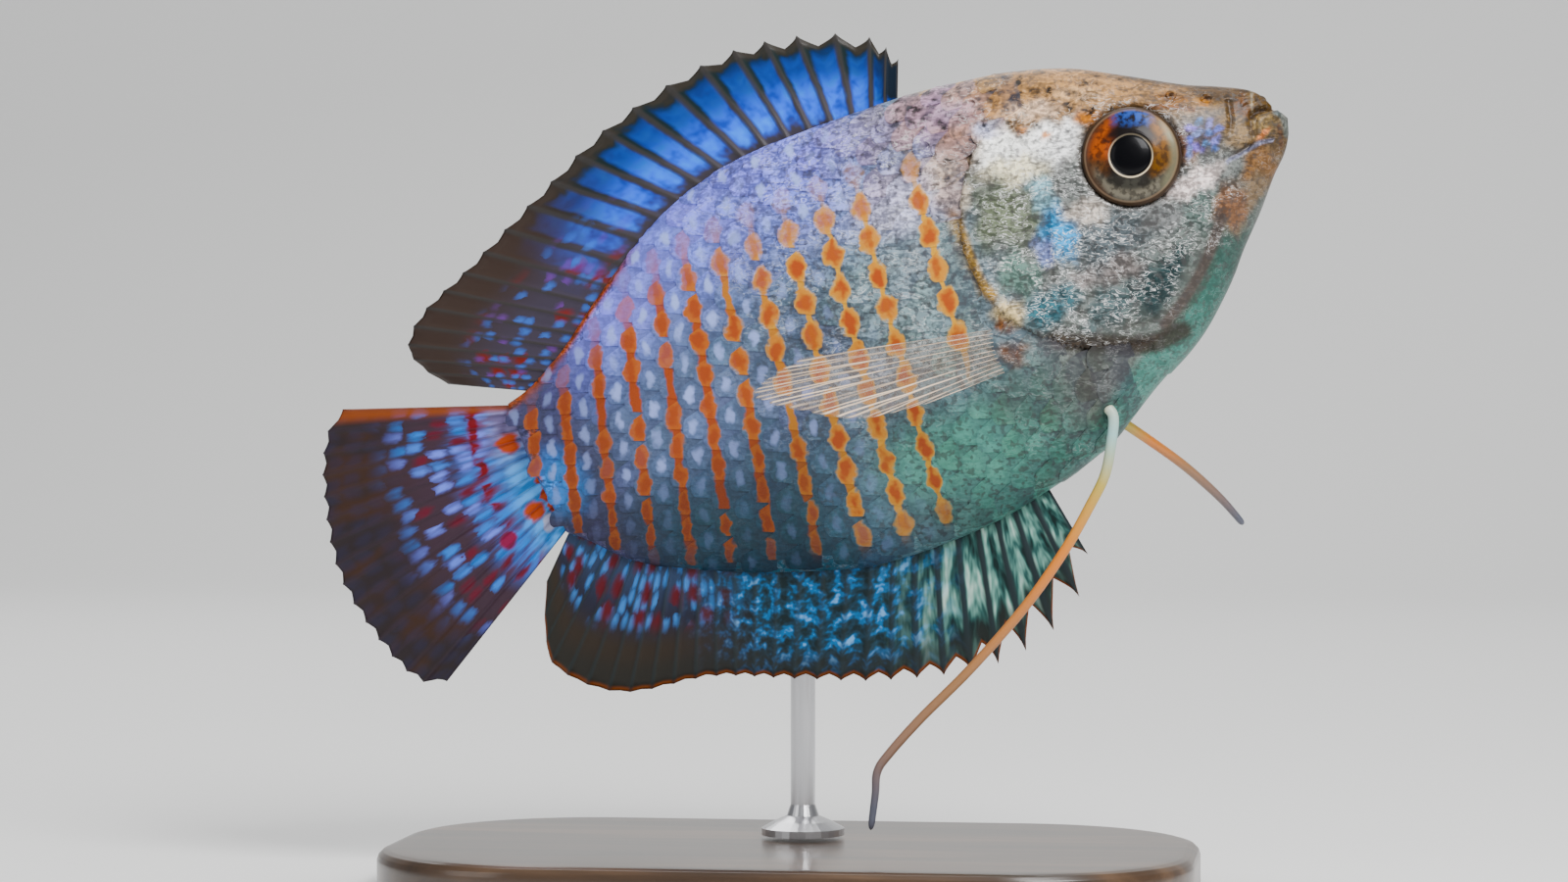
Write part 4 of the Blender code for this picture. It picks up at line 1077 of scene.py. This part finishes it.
foil = bpy.data.node_groups.new("skin_foil", "ShaderNodeTree")
for way in ("INPUT", "OUTPUT"):
    foil.interface.new_socket(name="Colour", in_out=way, socket_type="NodeSocketColor")
foil.interface.new_socket(name="Height", in_out="OUTPUT", socket_type="NodeSocketFloat")
for label, level in FOIL_LEVELS.items():
    socket = foil.interface.new_socket(name=label, in_out="INPUT", socket_type="NodeSocketFloat")
    socket.default_value = level
given = {socket.name: Value(socket) for socket in foil.nodes.new("NodeGroupInput").outputs}
result = foil.nodes.new("NodeGroupOutput").inputs
coords = object_place(foil)
density = 1000.0 / given["Size"]


def foil_noise(place, share, detail, distortion=0.0):
    return noise(place, density * share, Detail=detail, Roughness=0.6, Distortion=distortion)


folds = foil_noise(vector_math("MULTIPLY", coords, STRETCH), 1.3, 2.0, 1.3)
fine = foil_noise(coords, 3.2, 2.0)
broad = foil_noise(coords, 0.4, 3.0)
# Painted glints: thin white streaks where the folds cross their middle.
line = (1.0 - step(abs(folds - 0.52), 0.003, 0.03)) * step(broad, 0.4, 0.58)
mixed = folds * 0.45 + fine * 0.25 + broad * 0.3
swirl = vector_math("SCALE", noise(coords, 900.0, 1), 0.0007)
cells = value(foil, "ShaderNodeTexVoronoi", {"Vector": vector_math("ADD", coords, swirl), "Scale": 800.0},
              feature="DISTANCE_TO_EDGE")
cell_shade = (step(cells, 0.03, 0.3) * -0.9 + 0.5) * given["Cells"]
shade = (step(mixed, 0.4, 0.6) - 0.5) * given["Contrast"] + 1.0 + cell_shade
glinted = blend(line * given["Streaks"], vector_math("SCALE", given["Colour"], shade), GLINT_WHITE)
speck = (1.0 - step(foil_noise(coords, 2.0, 1.0), 0.37, 0.47)) * given["Specks"]
fill(result["Colour"], blend(speck, glinted, BLACK))
fill(result["Height"], line * 0.1 + mixed)
print("shared effects:", [group.name for group in bpy.data.node_groups])


# %% Finish helpers
def finish(name, roughness, metallic=0.0, coat=0.0, extra=None):
    """A new material: its node tree, its shader and the material itself."""
    made = bpy.data.materials.new(name)
    made.use_nodes = True
    shader = made.node_tree.nodes["Principled BSDF"]
    levels = {"Roughness": roughness, "Metallic": metallic, "Coat Weight": coat, "Coat Roughness": 0.15}
    for label, level in {**levels, **(extra or {})}.items():
        fill(shader.inputs[label], level)
    return made.node_tree, shader, made


def use_foil(tree, **levels):
    """The colour and the height that the foil group gives for its inputs."""
    outputs = add(tree, "ShaderNodeGroup", levels, node_tree=foil).outputs
    return Value(outputs["Colour"]), Value(outputs["Height"])


def bump(shader, height, strength, depth):
    links = {"Strength": strength, "Distance": depth * MM, "Height": height}
    fill(shader.inputs["Normal"], value(shader.id_data, "ShaderNodeBump", links))


def wear(piece, material):
    piece.data.materials.clear()
    piece.data.materials.append(material)
    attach(piece, "root")


# %% Skin finish
tree, shader, skin_finish = finish("skin_finish", 0.48, 0.1, 0.1, {"Specular IOR Level": 0.25})
# Painted glints: white streaks, strongest on the cheek.
tone, height = use_foil(tree, Colour=attribute(tree, "paint", "Color"), Size=0.8,
                        Contrast=attribute(tree, "wrinkled") * 0.6 + 0.55,
                        Streaks=attribute(tree, "cheek") * 0.65 + 0.1,
                        Specks=0.5, Cells=attribute(tree, "nape"))
fill(shader.inputs["Base Color"], tone)
bump(shader, height, 0.6, 0.14)
print("skin finish ready")

# %% [markdown]
# Each scale has its own map, with the middle of its shown part as origin. The ice-blue spots, the
# beads of the rust bars and their amber halos are round or diamond-shaped fields round that point.

# %% Scale finish
ROOT_SHADE = (0.045, 0.05, 0.085)
HEART = (0.39, 0.055, 0.003)
MAP_SIZE = 5.0

tree, shader, scale_finish = finish("scale_finish", 0.5, 0.05, 0.05, {"Specular IOR Level": 0.25})
front, wrinkled, slim_and_shaded, off_bar, bar_here, bead_here, pale_here = [
    attribute(tree, name) for name in ("halo", "wrinkled", "slim_and_shaded", "off", "bar", "bead", "pale")]
# Painted glints on the scales follow the wrinkled parts.
tone, height = use_foil(tree, Colour=attribute(tree, "paint", "Color"), Size=0.9,
                        Contrast=wrinkled * 0.65 + 0.45, Streaks=wrinkled * 0.4 + 0.03,
                        Specks=front * 0.5 + 0.08, Cells=attribute(tree, "nape"))
wobble = noise(object_place(tree), 1100.0, 1, Detail=2.0)
waver = vector_math("SCALE", vector_math("SUBTRACT", wobble, (0.5, 0.5, 0.5)), 0.2)
axes = parts(vector_math("ADD", value(tree, "ShaderNodeUVMap", uv_map="on_scale"), waver))
behind = axes[0] * MAP_SIZE - (MAP_SIZE / 2 + SHOWN)
ax, ay = abs(behind), abs(axes[1] * MAP_SIZE - MAP_SIZE / 2)
pale = (1.0 - step((ax / 0.31) ** 2.0 + (ay / 0.55) ** 2.0, 0.1, 1.9)) * pale_here
diamond = (ax / (slim_and_shaded * -0.26 + 0.7)) ** 1.6 + (ay / 1.15) ** 1.6
off_bar = abs(parts(waver)[0] * 3.5 + off_bar)
link = (1.0 - step(off_bar / (front * -0.2 + 0.42), 0.6, 1.1)) * bar_here
bead = (1.0 - step(diamond, 0.7, 1.0)) * bead_here
halo = (1.0 - step(diamond, 0.9, 1.3)) * bead_here * (front * 0.75 + 0.1)
heart = 1.0 - step(parts(wobble)[2] * 1.6 + (diamond - 0.8), 0.15, 0.75)
chained = blend(front, RUST, AMBER)
# Painted shade where each scale comes out from under the one ahead, and along its rear rim.
root = 1.0 - step(behind, -1.0, -0.1)
rear = step(ay * 0.35 + behind, 0.6, 1.15)
colour = blend((root + rear) * 0.3, tone, ROOT_SHADE)
colour = blend(pale * 0.9, colour, ICE)
colour = blend(link, colour, chained)
colour = blend(halo, colour, AMBER)
jewel = blend(heart, blend(0.5, ORANGE, chained), blend(front, RUST, HEART))
colour = blend(bead, colour, jewel)
# Painted shade: the scales are dimmed low on the rear flank, on the tail stalk and low in front.
fill(shader.inputs["Base Color"], vector_math("SCALE", colour, 1.0 - slim_and_shaded * 0.5))
bump(shader, height, 0.5, 0.12)
print("scale finish ready")

# %% [markdown]
# Fin finishes follow the fin's own map: its first way counts the share of rays, its second way the
# length of each ray. The two faces mirror each other.

# %% Fin finish helpers
def ink(*levels, share=0.35):
    """A fin's colour. A fin lets light through, so it looks deeper than skin."""
    return tuple(paint(*levels) * share)


def pattern_axes(tree):
    return parts(value(tree, "ShaderNodeUVMap", uv_map="pattern"))


def fin_axes(tree, rays, width=0.16):
    """Share of the fin, ray number and share of the length at each place, and the rays' mask."""
    axes = pattern_axes(tree)
    share = 1.0 - abs(axes[0] * 2.0 - 1.0)
    number = share * (rays - 1.0)
    ray = 1.0 - step(math_node(tree, "PINGPONG", number, 0.5), 0.03, width)
    return share, number, axes[1], ray


def sheet_place(across, along, seed=0.0):
    return value(across.tree, "ShaderNodeCombineXYZ", {0: across, 1: along, 2: seed})


def dash_texture(number, along, across_scale, along_scale, seed=0.0):
    """Noise stretched along the rays."""
    place = sheet_place(number * across_scale, along * along_scale, seed)
    return noise(place, 1.0, Detail=2.0, Roughness=0.6)


def flecks(number, along, across_scale, along_scale, seed, size, scatter=0.4, crisp=0.5):
    """Dashes in rows along the rays: their mask, and a random level for each one."""
    across = number * across_scale + (0.5 + scatter / 2 + 7.0 * seed)
    length = along * along_scale
    rough = dash_texture(across, length, 2.3, 1.6, seed) - 0.5
    place = sheet_place(rough * 0.35 + across, length - rough * 0.7)
    links = {"Vector": place, "Scale": 1.0, "Randomness": scatter, "Exponent": 2.6}
    cells = add(number.tree, "ShaderNodeTexVoronoi", links, voronoi_dimensions="2D",
                distance="MINKOWSKI").outputs
    level = value(number.tree, "ShaderNodeSeparateColor", {0: Value(cells["Color"])})
    return 1.0 - step(Value(cells["Distance"]), size * crisp, size * (2 - crisp)), level


def some(mask, level, low, high):
    """The part of a mask whose random level lies between low and high."""
    return mask * ((level > low) * (level < high))


def mark(share, along, middle, size):
    """A soft round mark at a place of the fin."""
    reach = ((share - middle[0]) / size[0]) ** 2.0 + ((along - middle[1]) / size[1]) ** 2.0
    return 1.0 - step(reach, 0.45, 1.3)


def fin_finish(name):
    """A finish with the soft sheen of a thin wet membrane."""
    return finish(name, 0.5, 0.0, 0.06, {"Specular IOR Level": 0.2})


print("fin finish helpers ready")

# %% Dorsal fin finish
tree, shader, dorsal_finish = fin_finish("dorsal_finish")
share, number, along, ray = fin_axes(tree, DORSAL_RAYS, 0.15)
waves = dash_texture(number, along, 1.4, 5.0)
off = math_node(tree, "PINGPONG", waves * 0.2 + number, 0.5)
membrane = step(off, 0.06, 0.22)
rise = along + waves * 0.3 - 0.15
lower = step(rise - step(share, 0.1, 0.22) * 0.12, 0.0, 0.16)
upper = 1.0 - step(rise, 0.78, 0.94)
vivid = membrane * lower * upper
ground = blend(step(rise, 0.3, 0.7), ink(112, 106, 116), ink(16, 58, 62, share=0.3))
electric = ramp(waves, [(0.32, ink(0, 96, 206, share=0.8)), (0.5, ink(0, 126, 250, share=1.15)),
                        (0.7, ink(0, 146, 255, share=1.4))])
electric = blend(step(rise, 0.4, 0.74) * 0.8, electric, ink(0, 76, 140, share=0.5))
colour = blend(vivid, ground, electric)
first = (1.0 - step(share, 0.03, 0.13)) * step(rise, 0.1, 0.3)
colour = blend(first, colour, ink(20, 50, 74, share=0.3))
colour = blend(step(rise, 0.88, 0.97), colour, ink(84, 78, 70))
rear = step(along * 0.08 + share, 0.5, 0.72)
lobe = blend(step(along, 0.35, 0.8), ink(112, 104, 122), ink(98, 80, 72))
near = 1.0 - step(along, 0.46, 0.72)
mask, level = flecks(number, along, 0.9, 8.0, 3, 0.34, 0.85, 0.2)
lobe = blend(some(mask, level, 0.0, 0.34) * near, lobe, ink(176, 70, 40, share=0.4))
mask, level = flecks(number, along, 1.5, 12.0, 4, 0.32, 0.9, 0.2)
lobe = blend(some(mask, level, 0.3, 0.72) * near, lobe, ink(116, 150, 240, share=0.6))
lobe = blend(some(mask, level, 0.8, 0.95) * near, lobe, ink(150, 110, 190, share=0.5))
colour = blend(rear, colour, lobe)
colour = blend(ray * 0.8, colour, ink(98, 94, 92))
fill(shader.inputs["Base Color"], colour)
print("dorsal fin finish ready")

# %% Anal fin finish
tree, shader, anal_finish = fin_finish("anal_finish")
share, number, along, ray = fin_axes(tree, ANAL_RAYS)
veins = dash_texture(number, along, 2.2, 3.0)
front = ramp(veins, [(0.36, ink(22, 56, 56)), (0.47, ink(76, 118, 114, share=0.55)),
                     (0.58, ink(130, 170, 160, share=0.95)), (0.72, ink(200, 222, 212, share=1.2))])
spine = 1.0 - step(math_node(tree, "PINGPONG", number, 0.5), 0.06, 0.2)
front = blend(spine, front, (0.008, 0.02, 0.024))
mottle = dash_texture(number, along, 1.7, 9.0)
middle = ramp(mottle, [(0.36, ink(34, 60, 66)), (0.5, ink(62, 98, 122, share=0.42)),
                       (0.6, ink(84, 150, 216, share=0.6)), (0.7, ink(160, 206, 255, share=0.8))])
back = blend(step(along, 0.1, 0.5), ink(92, 112, 150), ink(66, 66, 88))
mask, level = flecks(number, along, 1.0, 5.0, 6, 0.36, 0.6, 0.3)
near = 1.0 - step(along, 0.46, 0.66)
maroon = some(mask, level, 0.0, 0.45) * near
mask, level = flecks(number, along, 2.0, 6.5, 5, 0.36, 0.6, 0.35)
back = blend(some(mask, level, 0.1, 0.62) * near, back, ink(120, 170, 244, share=0.65))
back = blend(maroon, back, ink(130, 50, 60, share=0.45))
colour = blend(step(share, 0.16, 0.34), front, middle)
colour = blend(step(share, 0.5, 0.68), colour, back)
colour = blend(step(share, 0.42, 0.7) * step(along, 0.46, 0.7), colour, ink(84, 72, 62))
colour = blend(step(along, 0.7, 0.9) * 0.7, colour, ink(64, 66, 62))
colour = blend(step(along, 0.955, 0.985), colour, ink(186, 110, 64))
colour = blend(ray * 0.5, colour, ink(70, 84, 88))
fill(shader.inputs["Base Color"], colour)
print("anal fin finish ready")

# %% Tail fin finish
RUSTY = (196, 96, 30)
TAIL_MARKS = [((0.27, 0.11), (0.075, 0.05), RUSTY), ((0.74, 0.12), (0.07, 0.05), RUSTY),
              ((0.7, 0.03), (0.2, 0.035), RUSTY), ((0.86, 0.09), (0.06, 0.04), (220, 222, 250)),
              ((0.77, 0.28), (0.05, 0.05), (150, 60, 90))]

tree, shader, tail_finish = fin_finish("tail_finish")
share, number, along, ray = fin_axes(tree, TAIL_RAYS)
ground = blend(step(along, 0.06, 0.46), ink(140, 130, 196, share=0.6), ink(108, 84, 100))
streaks = step(dash_texture(number, along, 2.0, 3.5, 2.0), 0.42, 0.56)
inside = 1.0 - step(along, 0.12, 0.46)
colour = blend(streaks * inside, ground, ink(104, 160, 255, share=0.95))
near = 1.0 - step(along, 0.55, 0.84)
mask, level = flecks(number, along, 1.3, 9.5, 1, 0.36, 0.4, 0.35)
tinted = blend(step(level, 0.1, 0.45), ink(146, 160, 255, share=1.0), ink(104, 160, 250, share=0.8))
colour = blend(some(mask, level, 0.0, 0.6) * near, colour, tinted)
colour = blend(some(mask, level, 0.66, 0.88) * near, colour, ink(140, 58, 76, share=0.5))
spots, kind = flecks(number, along, 0.7, 6.0, 9, 0.3, 0.7)
colour = blend(some(spots, kind, 0.0, 0.4) * inside, colour, ink(150, 56, 60, share=0.5))
warm = step(dash_texture(number, along, 0.5, 2.0, 6.0), 0.46, 0.62)
far = blend(warm, ink(74, 62, 66), ink(98, 70, 58))
far = blend(mask * 0.35, far, ink(84, 84, 124))
colour = blend(step(along, 0.5, 0.82), colour, far)
crook = dash_texture(number, along, 0.9, 6.0, 12.0)
bent_along = crook * 0.1 + along - 0.05
foot = 1.0 - step(bent_along, 0.12, 0.26)
grain = step(crook, 0.4, 0.6)
grey = blend(grain, ink(150, 140, 184, share=0.6), ink(176, 170, 214, share=0.8))
blue = blend(grain, ink(96, 150, 220, share=0.8), ink(128, 186, 250, share=1.1))
colour = blend(foot, colour, blend(step(share, 0.2, 0.5), grey, blue))
arc = (1.0 - step(abs(bent_along - 0.26), 0.012, 0.035)) * (1.0 - step(share, 0.56, 0.62))
colour = blend(arc * step(crook, 0.36, 0.5), colour, ink(150, 50, 60, share=0.6))
for middle, size, levels in TAIL_MARKS:
    colour = blend(mark(share, bent_along, middle, size), colour, ink(*levels, share=0.8))
colour = blend((1.0 - step(share, 0.02, 0.06)) * 0.9, colour, ink(196, 112, 50, share=0.5))
colour = blend(ray * 0.4, colour, ink(96, 78, 92))
fill(shader.inputs["Base Color"], colour)
print("tail fin finish ready")

# %% Breast fin finish
tree, shader, pectoral_finish = finish("pectoral_finish", 0.35, 0.0, 0.15)
axes = pattern_axes(tree)
bundle = abs(axes[0] * 2.0 - 1.0) * (PECTORAL_RAYS - 1.0)
bent = dash_texture(bundle, axes[1], 0.8, 2.0, 4.0)
bundle = bundle + bent * 0.5 - 0.25
fork = step(axes[1], 0.35, 1.0) * 0.22
ray = 1.0 - step(abs(math_node(tree, "PINGPONG", bundle, 0.5) - fork), 0.02, 0.13)
uneven = step(dash_texture(bundle, axes[1], 0.7, 1.2, 8.0), 0.36, 0.6)
ray = ray * (uneven * 0.7 + 0.3)
colour = blend(ray, ink(206, 190, 176, share=1.0), ink(255, 236, 216, share=1.2))
fill(shader.inputs["Base Color"], colour)
fill(shader.inputs["Alpha"], ray * 0.78 + 0.12)
print("breast fin finish ready")

# %% Feeler finish
tree, shader, feeler_finish = finish("feeler_finish", 0.45, 0.0, 0.1)
stops = [(0.0, (224, 226, 206)), (0.14, (186, 222, 220)), (0.28, (200, 180, 112)), (0.42, (222, 142, 44)),
         (0.6, (160, 122, 92)), (0.95, (92, 94, 106))]
colour = ramp(pattern_axes(tree)[1], [(place, tuple(paint(*levels))) for place, levels in stops])
fill(shader.inputs["Base Color"], colour)
print("feeler finish ready")

# %% [markdown]
# The iris is painted with fields: rust behind, ochre in front, grey below and dark blue on top. The
# pupil is black inside a thin cream ring, and a wet coat lies over all of it.

# %% Eye finish
EYE_DARK, EYE_ORANGE, EYE_OCHRE = (0.008, 0.006, 0.006), (0.33, 0.06, 0.003), (0.14, 0.055, 0.005)
EYE_GREY, EYE_SILVER, EYE_BLUE = (0.04, 0.038, 0.03), (0.15, 0.135, 0.10), (0.018, 0.066, 0.33)
EYE_RUST, EYE_BROWN, EYE_SAGE = (0.10, 0.04, 0.012), (0.05, 0.022, 0.010), (0.16, 0.15, 0.09)
EYE_RIM, EYE_LINE, EYE_CREAM = (0.045, 0.026, 0.014), (0.26, 0.17, 0.10), (0.85, 0.70, 0.46)
PUPIL = (0.002, 0.002, 0.003)

tree, shader, eye_finish = finish("eye_finish", 0.3, 0.15, 0.6, {
    "Coat Roughness": 0.04, "Coat IOR": 1.16, "Specular IOR Level": 0.1})
radius, upward, forward = [attribute(tree, name) for name in ("radius", "upward", "forward")]
streaks = noise(object_place(tree), 2400.0, Detail=4.0)
ragged = streaks * 0.24 - 0.12
front_side, rear_side = forward + ragged, ragged - forward
up_side, down_side = upward + ragged, ragged - upward
colour = blend(step(rear_side, 0.2, 0.5) * step(up_side, -0.3, 0.05), EYE_DARK, EYE_ORANGE)
colour = blend(step(rear_side, 0.3, 0.6) * step(down_side, -0.1, 0.2), colour, EYE_RUST)
colour = blend(step(front_side, 0.26, 0.5), colour, EYE_OCHRE)
colour = blend(step(down_side, 0.3, 0.5), colour, EYE_GREY)
arc = 1.0 - step(abs(radius - 0.78), 0.02, 0.16)
colour = blend(arc * step(down_side, 0.1, 0.5), colour, EYE_SILVER)
middle = 1.0 - step(abs(forward), 0.22, 0.52)
crown = step(up_side, 0.54, 0.78) * middle * step(streaks, 0.33, 0.6)
over = (1.0 - step(radius, 0.58, 0.72)) * step(up_side, 0.18, 0.4)
colour = blend(step(streaks, 0.44, 0.6) * 0.6, colour, EYE_DARK)
colour = blend(over * 0.9, colour, EYE_DARK)
colour = blend(crown, colour, EYE_BLUE)
outside = step(radius, 0.72, 0.9) * step(rear_side, 0.3, 0.6)
colour = blend(outside * 0.85, colour, EYE_BROWN)
sage = step(radius, 0.7, 0.86) * step(front_side, 0.5, 0.75)
colour = blend(sage * 0.8, colour, EYE_SAGE)
colour = blend(step(radius, 0.9, 0.95), colour, EYE_RIM)
rim_line = 1.0 - step(abs(radius - 0.915), 0.008, 0.03)
colour = blend(rim_line * 0.4, colour, EYE_LINE)
ring_here = down_side * 1.1 + 0.55
ring_here = math_node(tree, "MAXIMUM", math_node(tree, "MINIMUM", ring_here, 0.95), 0.12)
ring = 1.0 - step(radius, 0.435, 0.455)
colour = blend(ring * ring_here, colour, EYE_CREAM)
pupil = 1.0 - step(radius, 0.405, 0.425)
fill(shader.inputs["Base Color"], blend(pupil, colour, PUPIL))
print("eye finish ready")

# %% Stand finishes
tree, shader, wood_finish = finish("walnut_finish", 0.35, 0.0, 0.4)
stretched = vector_math("MULTIPLY", object_place(tree), (30.0, 260.0, 260.0))
grain = noise(stretched, 1.0, Detail=6.0, Distortion=0.8)
walnut = [(0.3, (0.022, 0.012, 0.006)), (0.55, (0.06, 0.032, 0.016)), (0.7, (0.11, 0.06, 0.03))]
fill(shader.inputs["Base Color"], ramp(grain, walnut))
bump(shader, grain, 0.2, 0.05)

tree, shader, steel_finish = finish("steel_finish", 0.28, 1.0, 0.0, {"Base Color": (0.62, 0.62, 0.64)})
brushed = vector_math("MULTIPLY", object_place(tree), (900.0, 900.0, 9000.0))
bump(shader, noise(brushed, 1.0), 0.15, 0.01)
print("stand finishes ready")

# %% Dress the pieces
wear(skin, skin_finish)
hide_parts("head", "trunk", "tail_stalk", "gill_cover_right", "gill_cover_left")
for piece in scales:
    wear(piece, scale_finish)
wear(dorsal_fin, dorsal_finish)
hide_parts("dorsal_fin")
wear(anal_fin, anal_finish)
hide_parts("anal_fin")
wear(tail_fin, tail_finish)
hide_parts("tail_fin")
for piece, label in zip(pectorals, ("right", "left")):
    wear(piece, pectoral_finish)
    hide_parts("pectoral_fin_" + label)
for piece, label in zip(feelers, ("right", "left")):
    wear(piece, feeler_finish)
    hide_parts("pelvic_feeler_" + label + "_root", "pelvic_feeler_" + label + "_tip")
for piece, label in zip(eyes, ("right", "left")):
    wear(piece, eye_finish)
    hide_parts("eye_" + label)
wear(base, wood_finish)
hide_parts("stand_base")
rod = frame["nodes"]["stand_rod"]
for slot in rod.material_slots:
    slot.material = steel_finish

# %% [markdown]
# The room is a pale sweep of paper. One soft lamp stands close in front and above, so that the
# head is the brightest part, as in the photo. The camera is where the photographer stood: a
# little in front of the fish's side and level with it.

# %% Paper sweep
FLOOR_SHARE = 0.55
clear_selection()
bpy.ops.mesh.primitive_grid_add(x_subdivisions=2, y_subdivisions=60, size=1.0)
sweep = bpy.context.object
sweep.name = "paper_sweep"
flat_points = read_points(sweep.data)
t = flat_points[:, 1] + 0.5
curl = np.clip((t - FLOOR_SHARE) / (1 - FLOOR_SHARE), 0, 1) * math.pi / 2
sweep_y = np.where(t < FLOOR_SHARE, -1.6 + t / FLOOR_SHARE * 2.0, 0.4 + 0.35 * np.sin(curl))
sweep_points = np.stack([flat_points[:, 0] * 5, sweep_y, 0.9 * (1 - np.cos(curl))], -1)
sweep.data.vertices.foreach_set("co", sweep_points.ravel())
bpy.ops.object.shade_smooth()
tree, shader, paper_finish = finish("paper_finish", 0.8, extra={"Base Color": (0.86, 0.86, 0.85)})
sweep.data.materials.append(paper_finish)
print("paper ready")


# %% Lamps and camera
def lamp(name, place, target, size, power, colour=(1.0, 1.0, 1.0)):
    data = bpy.data.lights.new(name, "AREA")
    data.size = size
    data.energy = power
    data.color = colour
    made = bpy.data.objects.new(name, data)
    made.location = place
    made.rotation_euler = (Vector(target) - Vector(place)).to_track_quat("-Z", "Y").to_euler()
    bpy.context.scene.collection.objects.link(made)


lamp("key_lamp", (0.125, -0.155, 0.212), (0.01, 0, 0.04), 0.12, 1.0)
lamp("fill_lamp", (-0.34, -0.30, 0.20), (0, 0, 0.03), 0.3, 0.45)
lamp("rim_lamp", (-0.1, 0.30, 0.35), (0, 0, 0.03), 0.25, 0.7)
lamp("paper_lamp", (0.0, 0.12, 0.7), (0, 0.6, 0.1), 0.5, 3.0)
world = bpy.data.worlds.new("soft_room")
world.use_nodes = True
world.node_tree.nodes["Background"].inputs["Color"].default_value = (0.9, 0.92, 0.95, 1.0)
world.node_tree.nodes["Background"].inputs["Strength"].default_value = 0.26
bpy.context.scene.world = world

CAMERA_TURN = math.radians(8.0)
CAMERA_RISE = math.radians(1.0)
CAMERA_DISTANCE = 0.311
aim = Vector((-0.0005, 0.0, 0.0318))
camera_data = bpy.data.cameras.new("camera")
camera_data.lens = 100.0
camera_data.sensor_width = 36.0
camera = bpy.data.objects.new("camera", camera_data)
level_share = math.cos(CAMERA_RISE)
away = Vector((math.sin(CAMERA_TURN) * level_share, -math.cos(CAMERA_TURN) * level_share,
               math.sin(CAMERA_RISE)))
camera.location = aim + away * CAMERA_DISTANCE
camera.rotation_euler = (-away).to_track_quat("-Z", "Y").to_euler()
camera_data.clip_start = 0.01
bpy.context.scene.collection.objects.link(camera)
bpy.context.scene.camera = camera
print("camera at", camera.location)
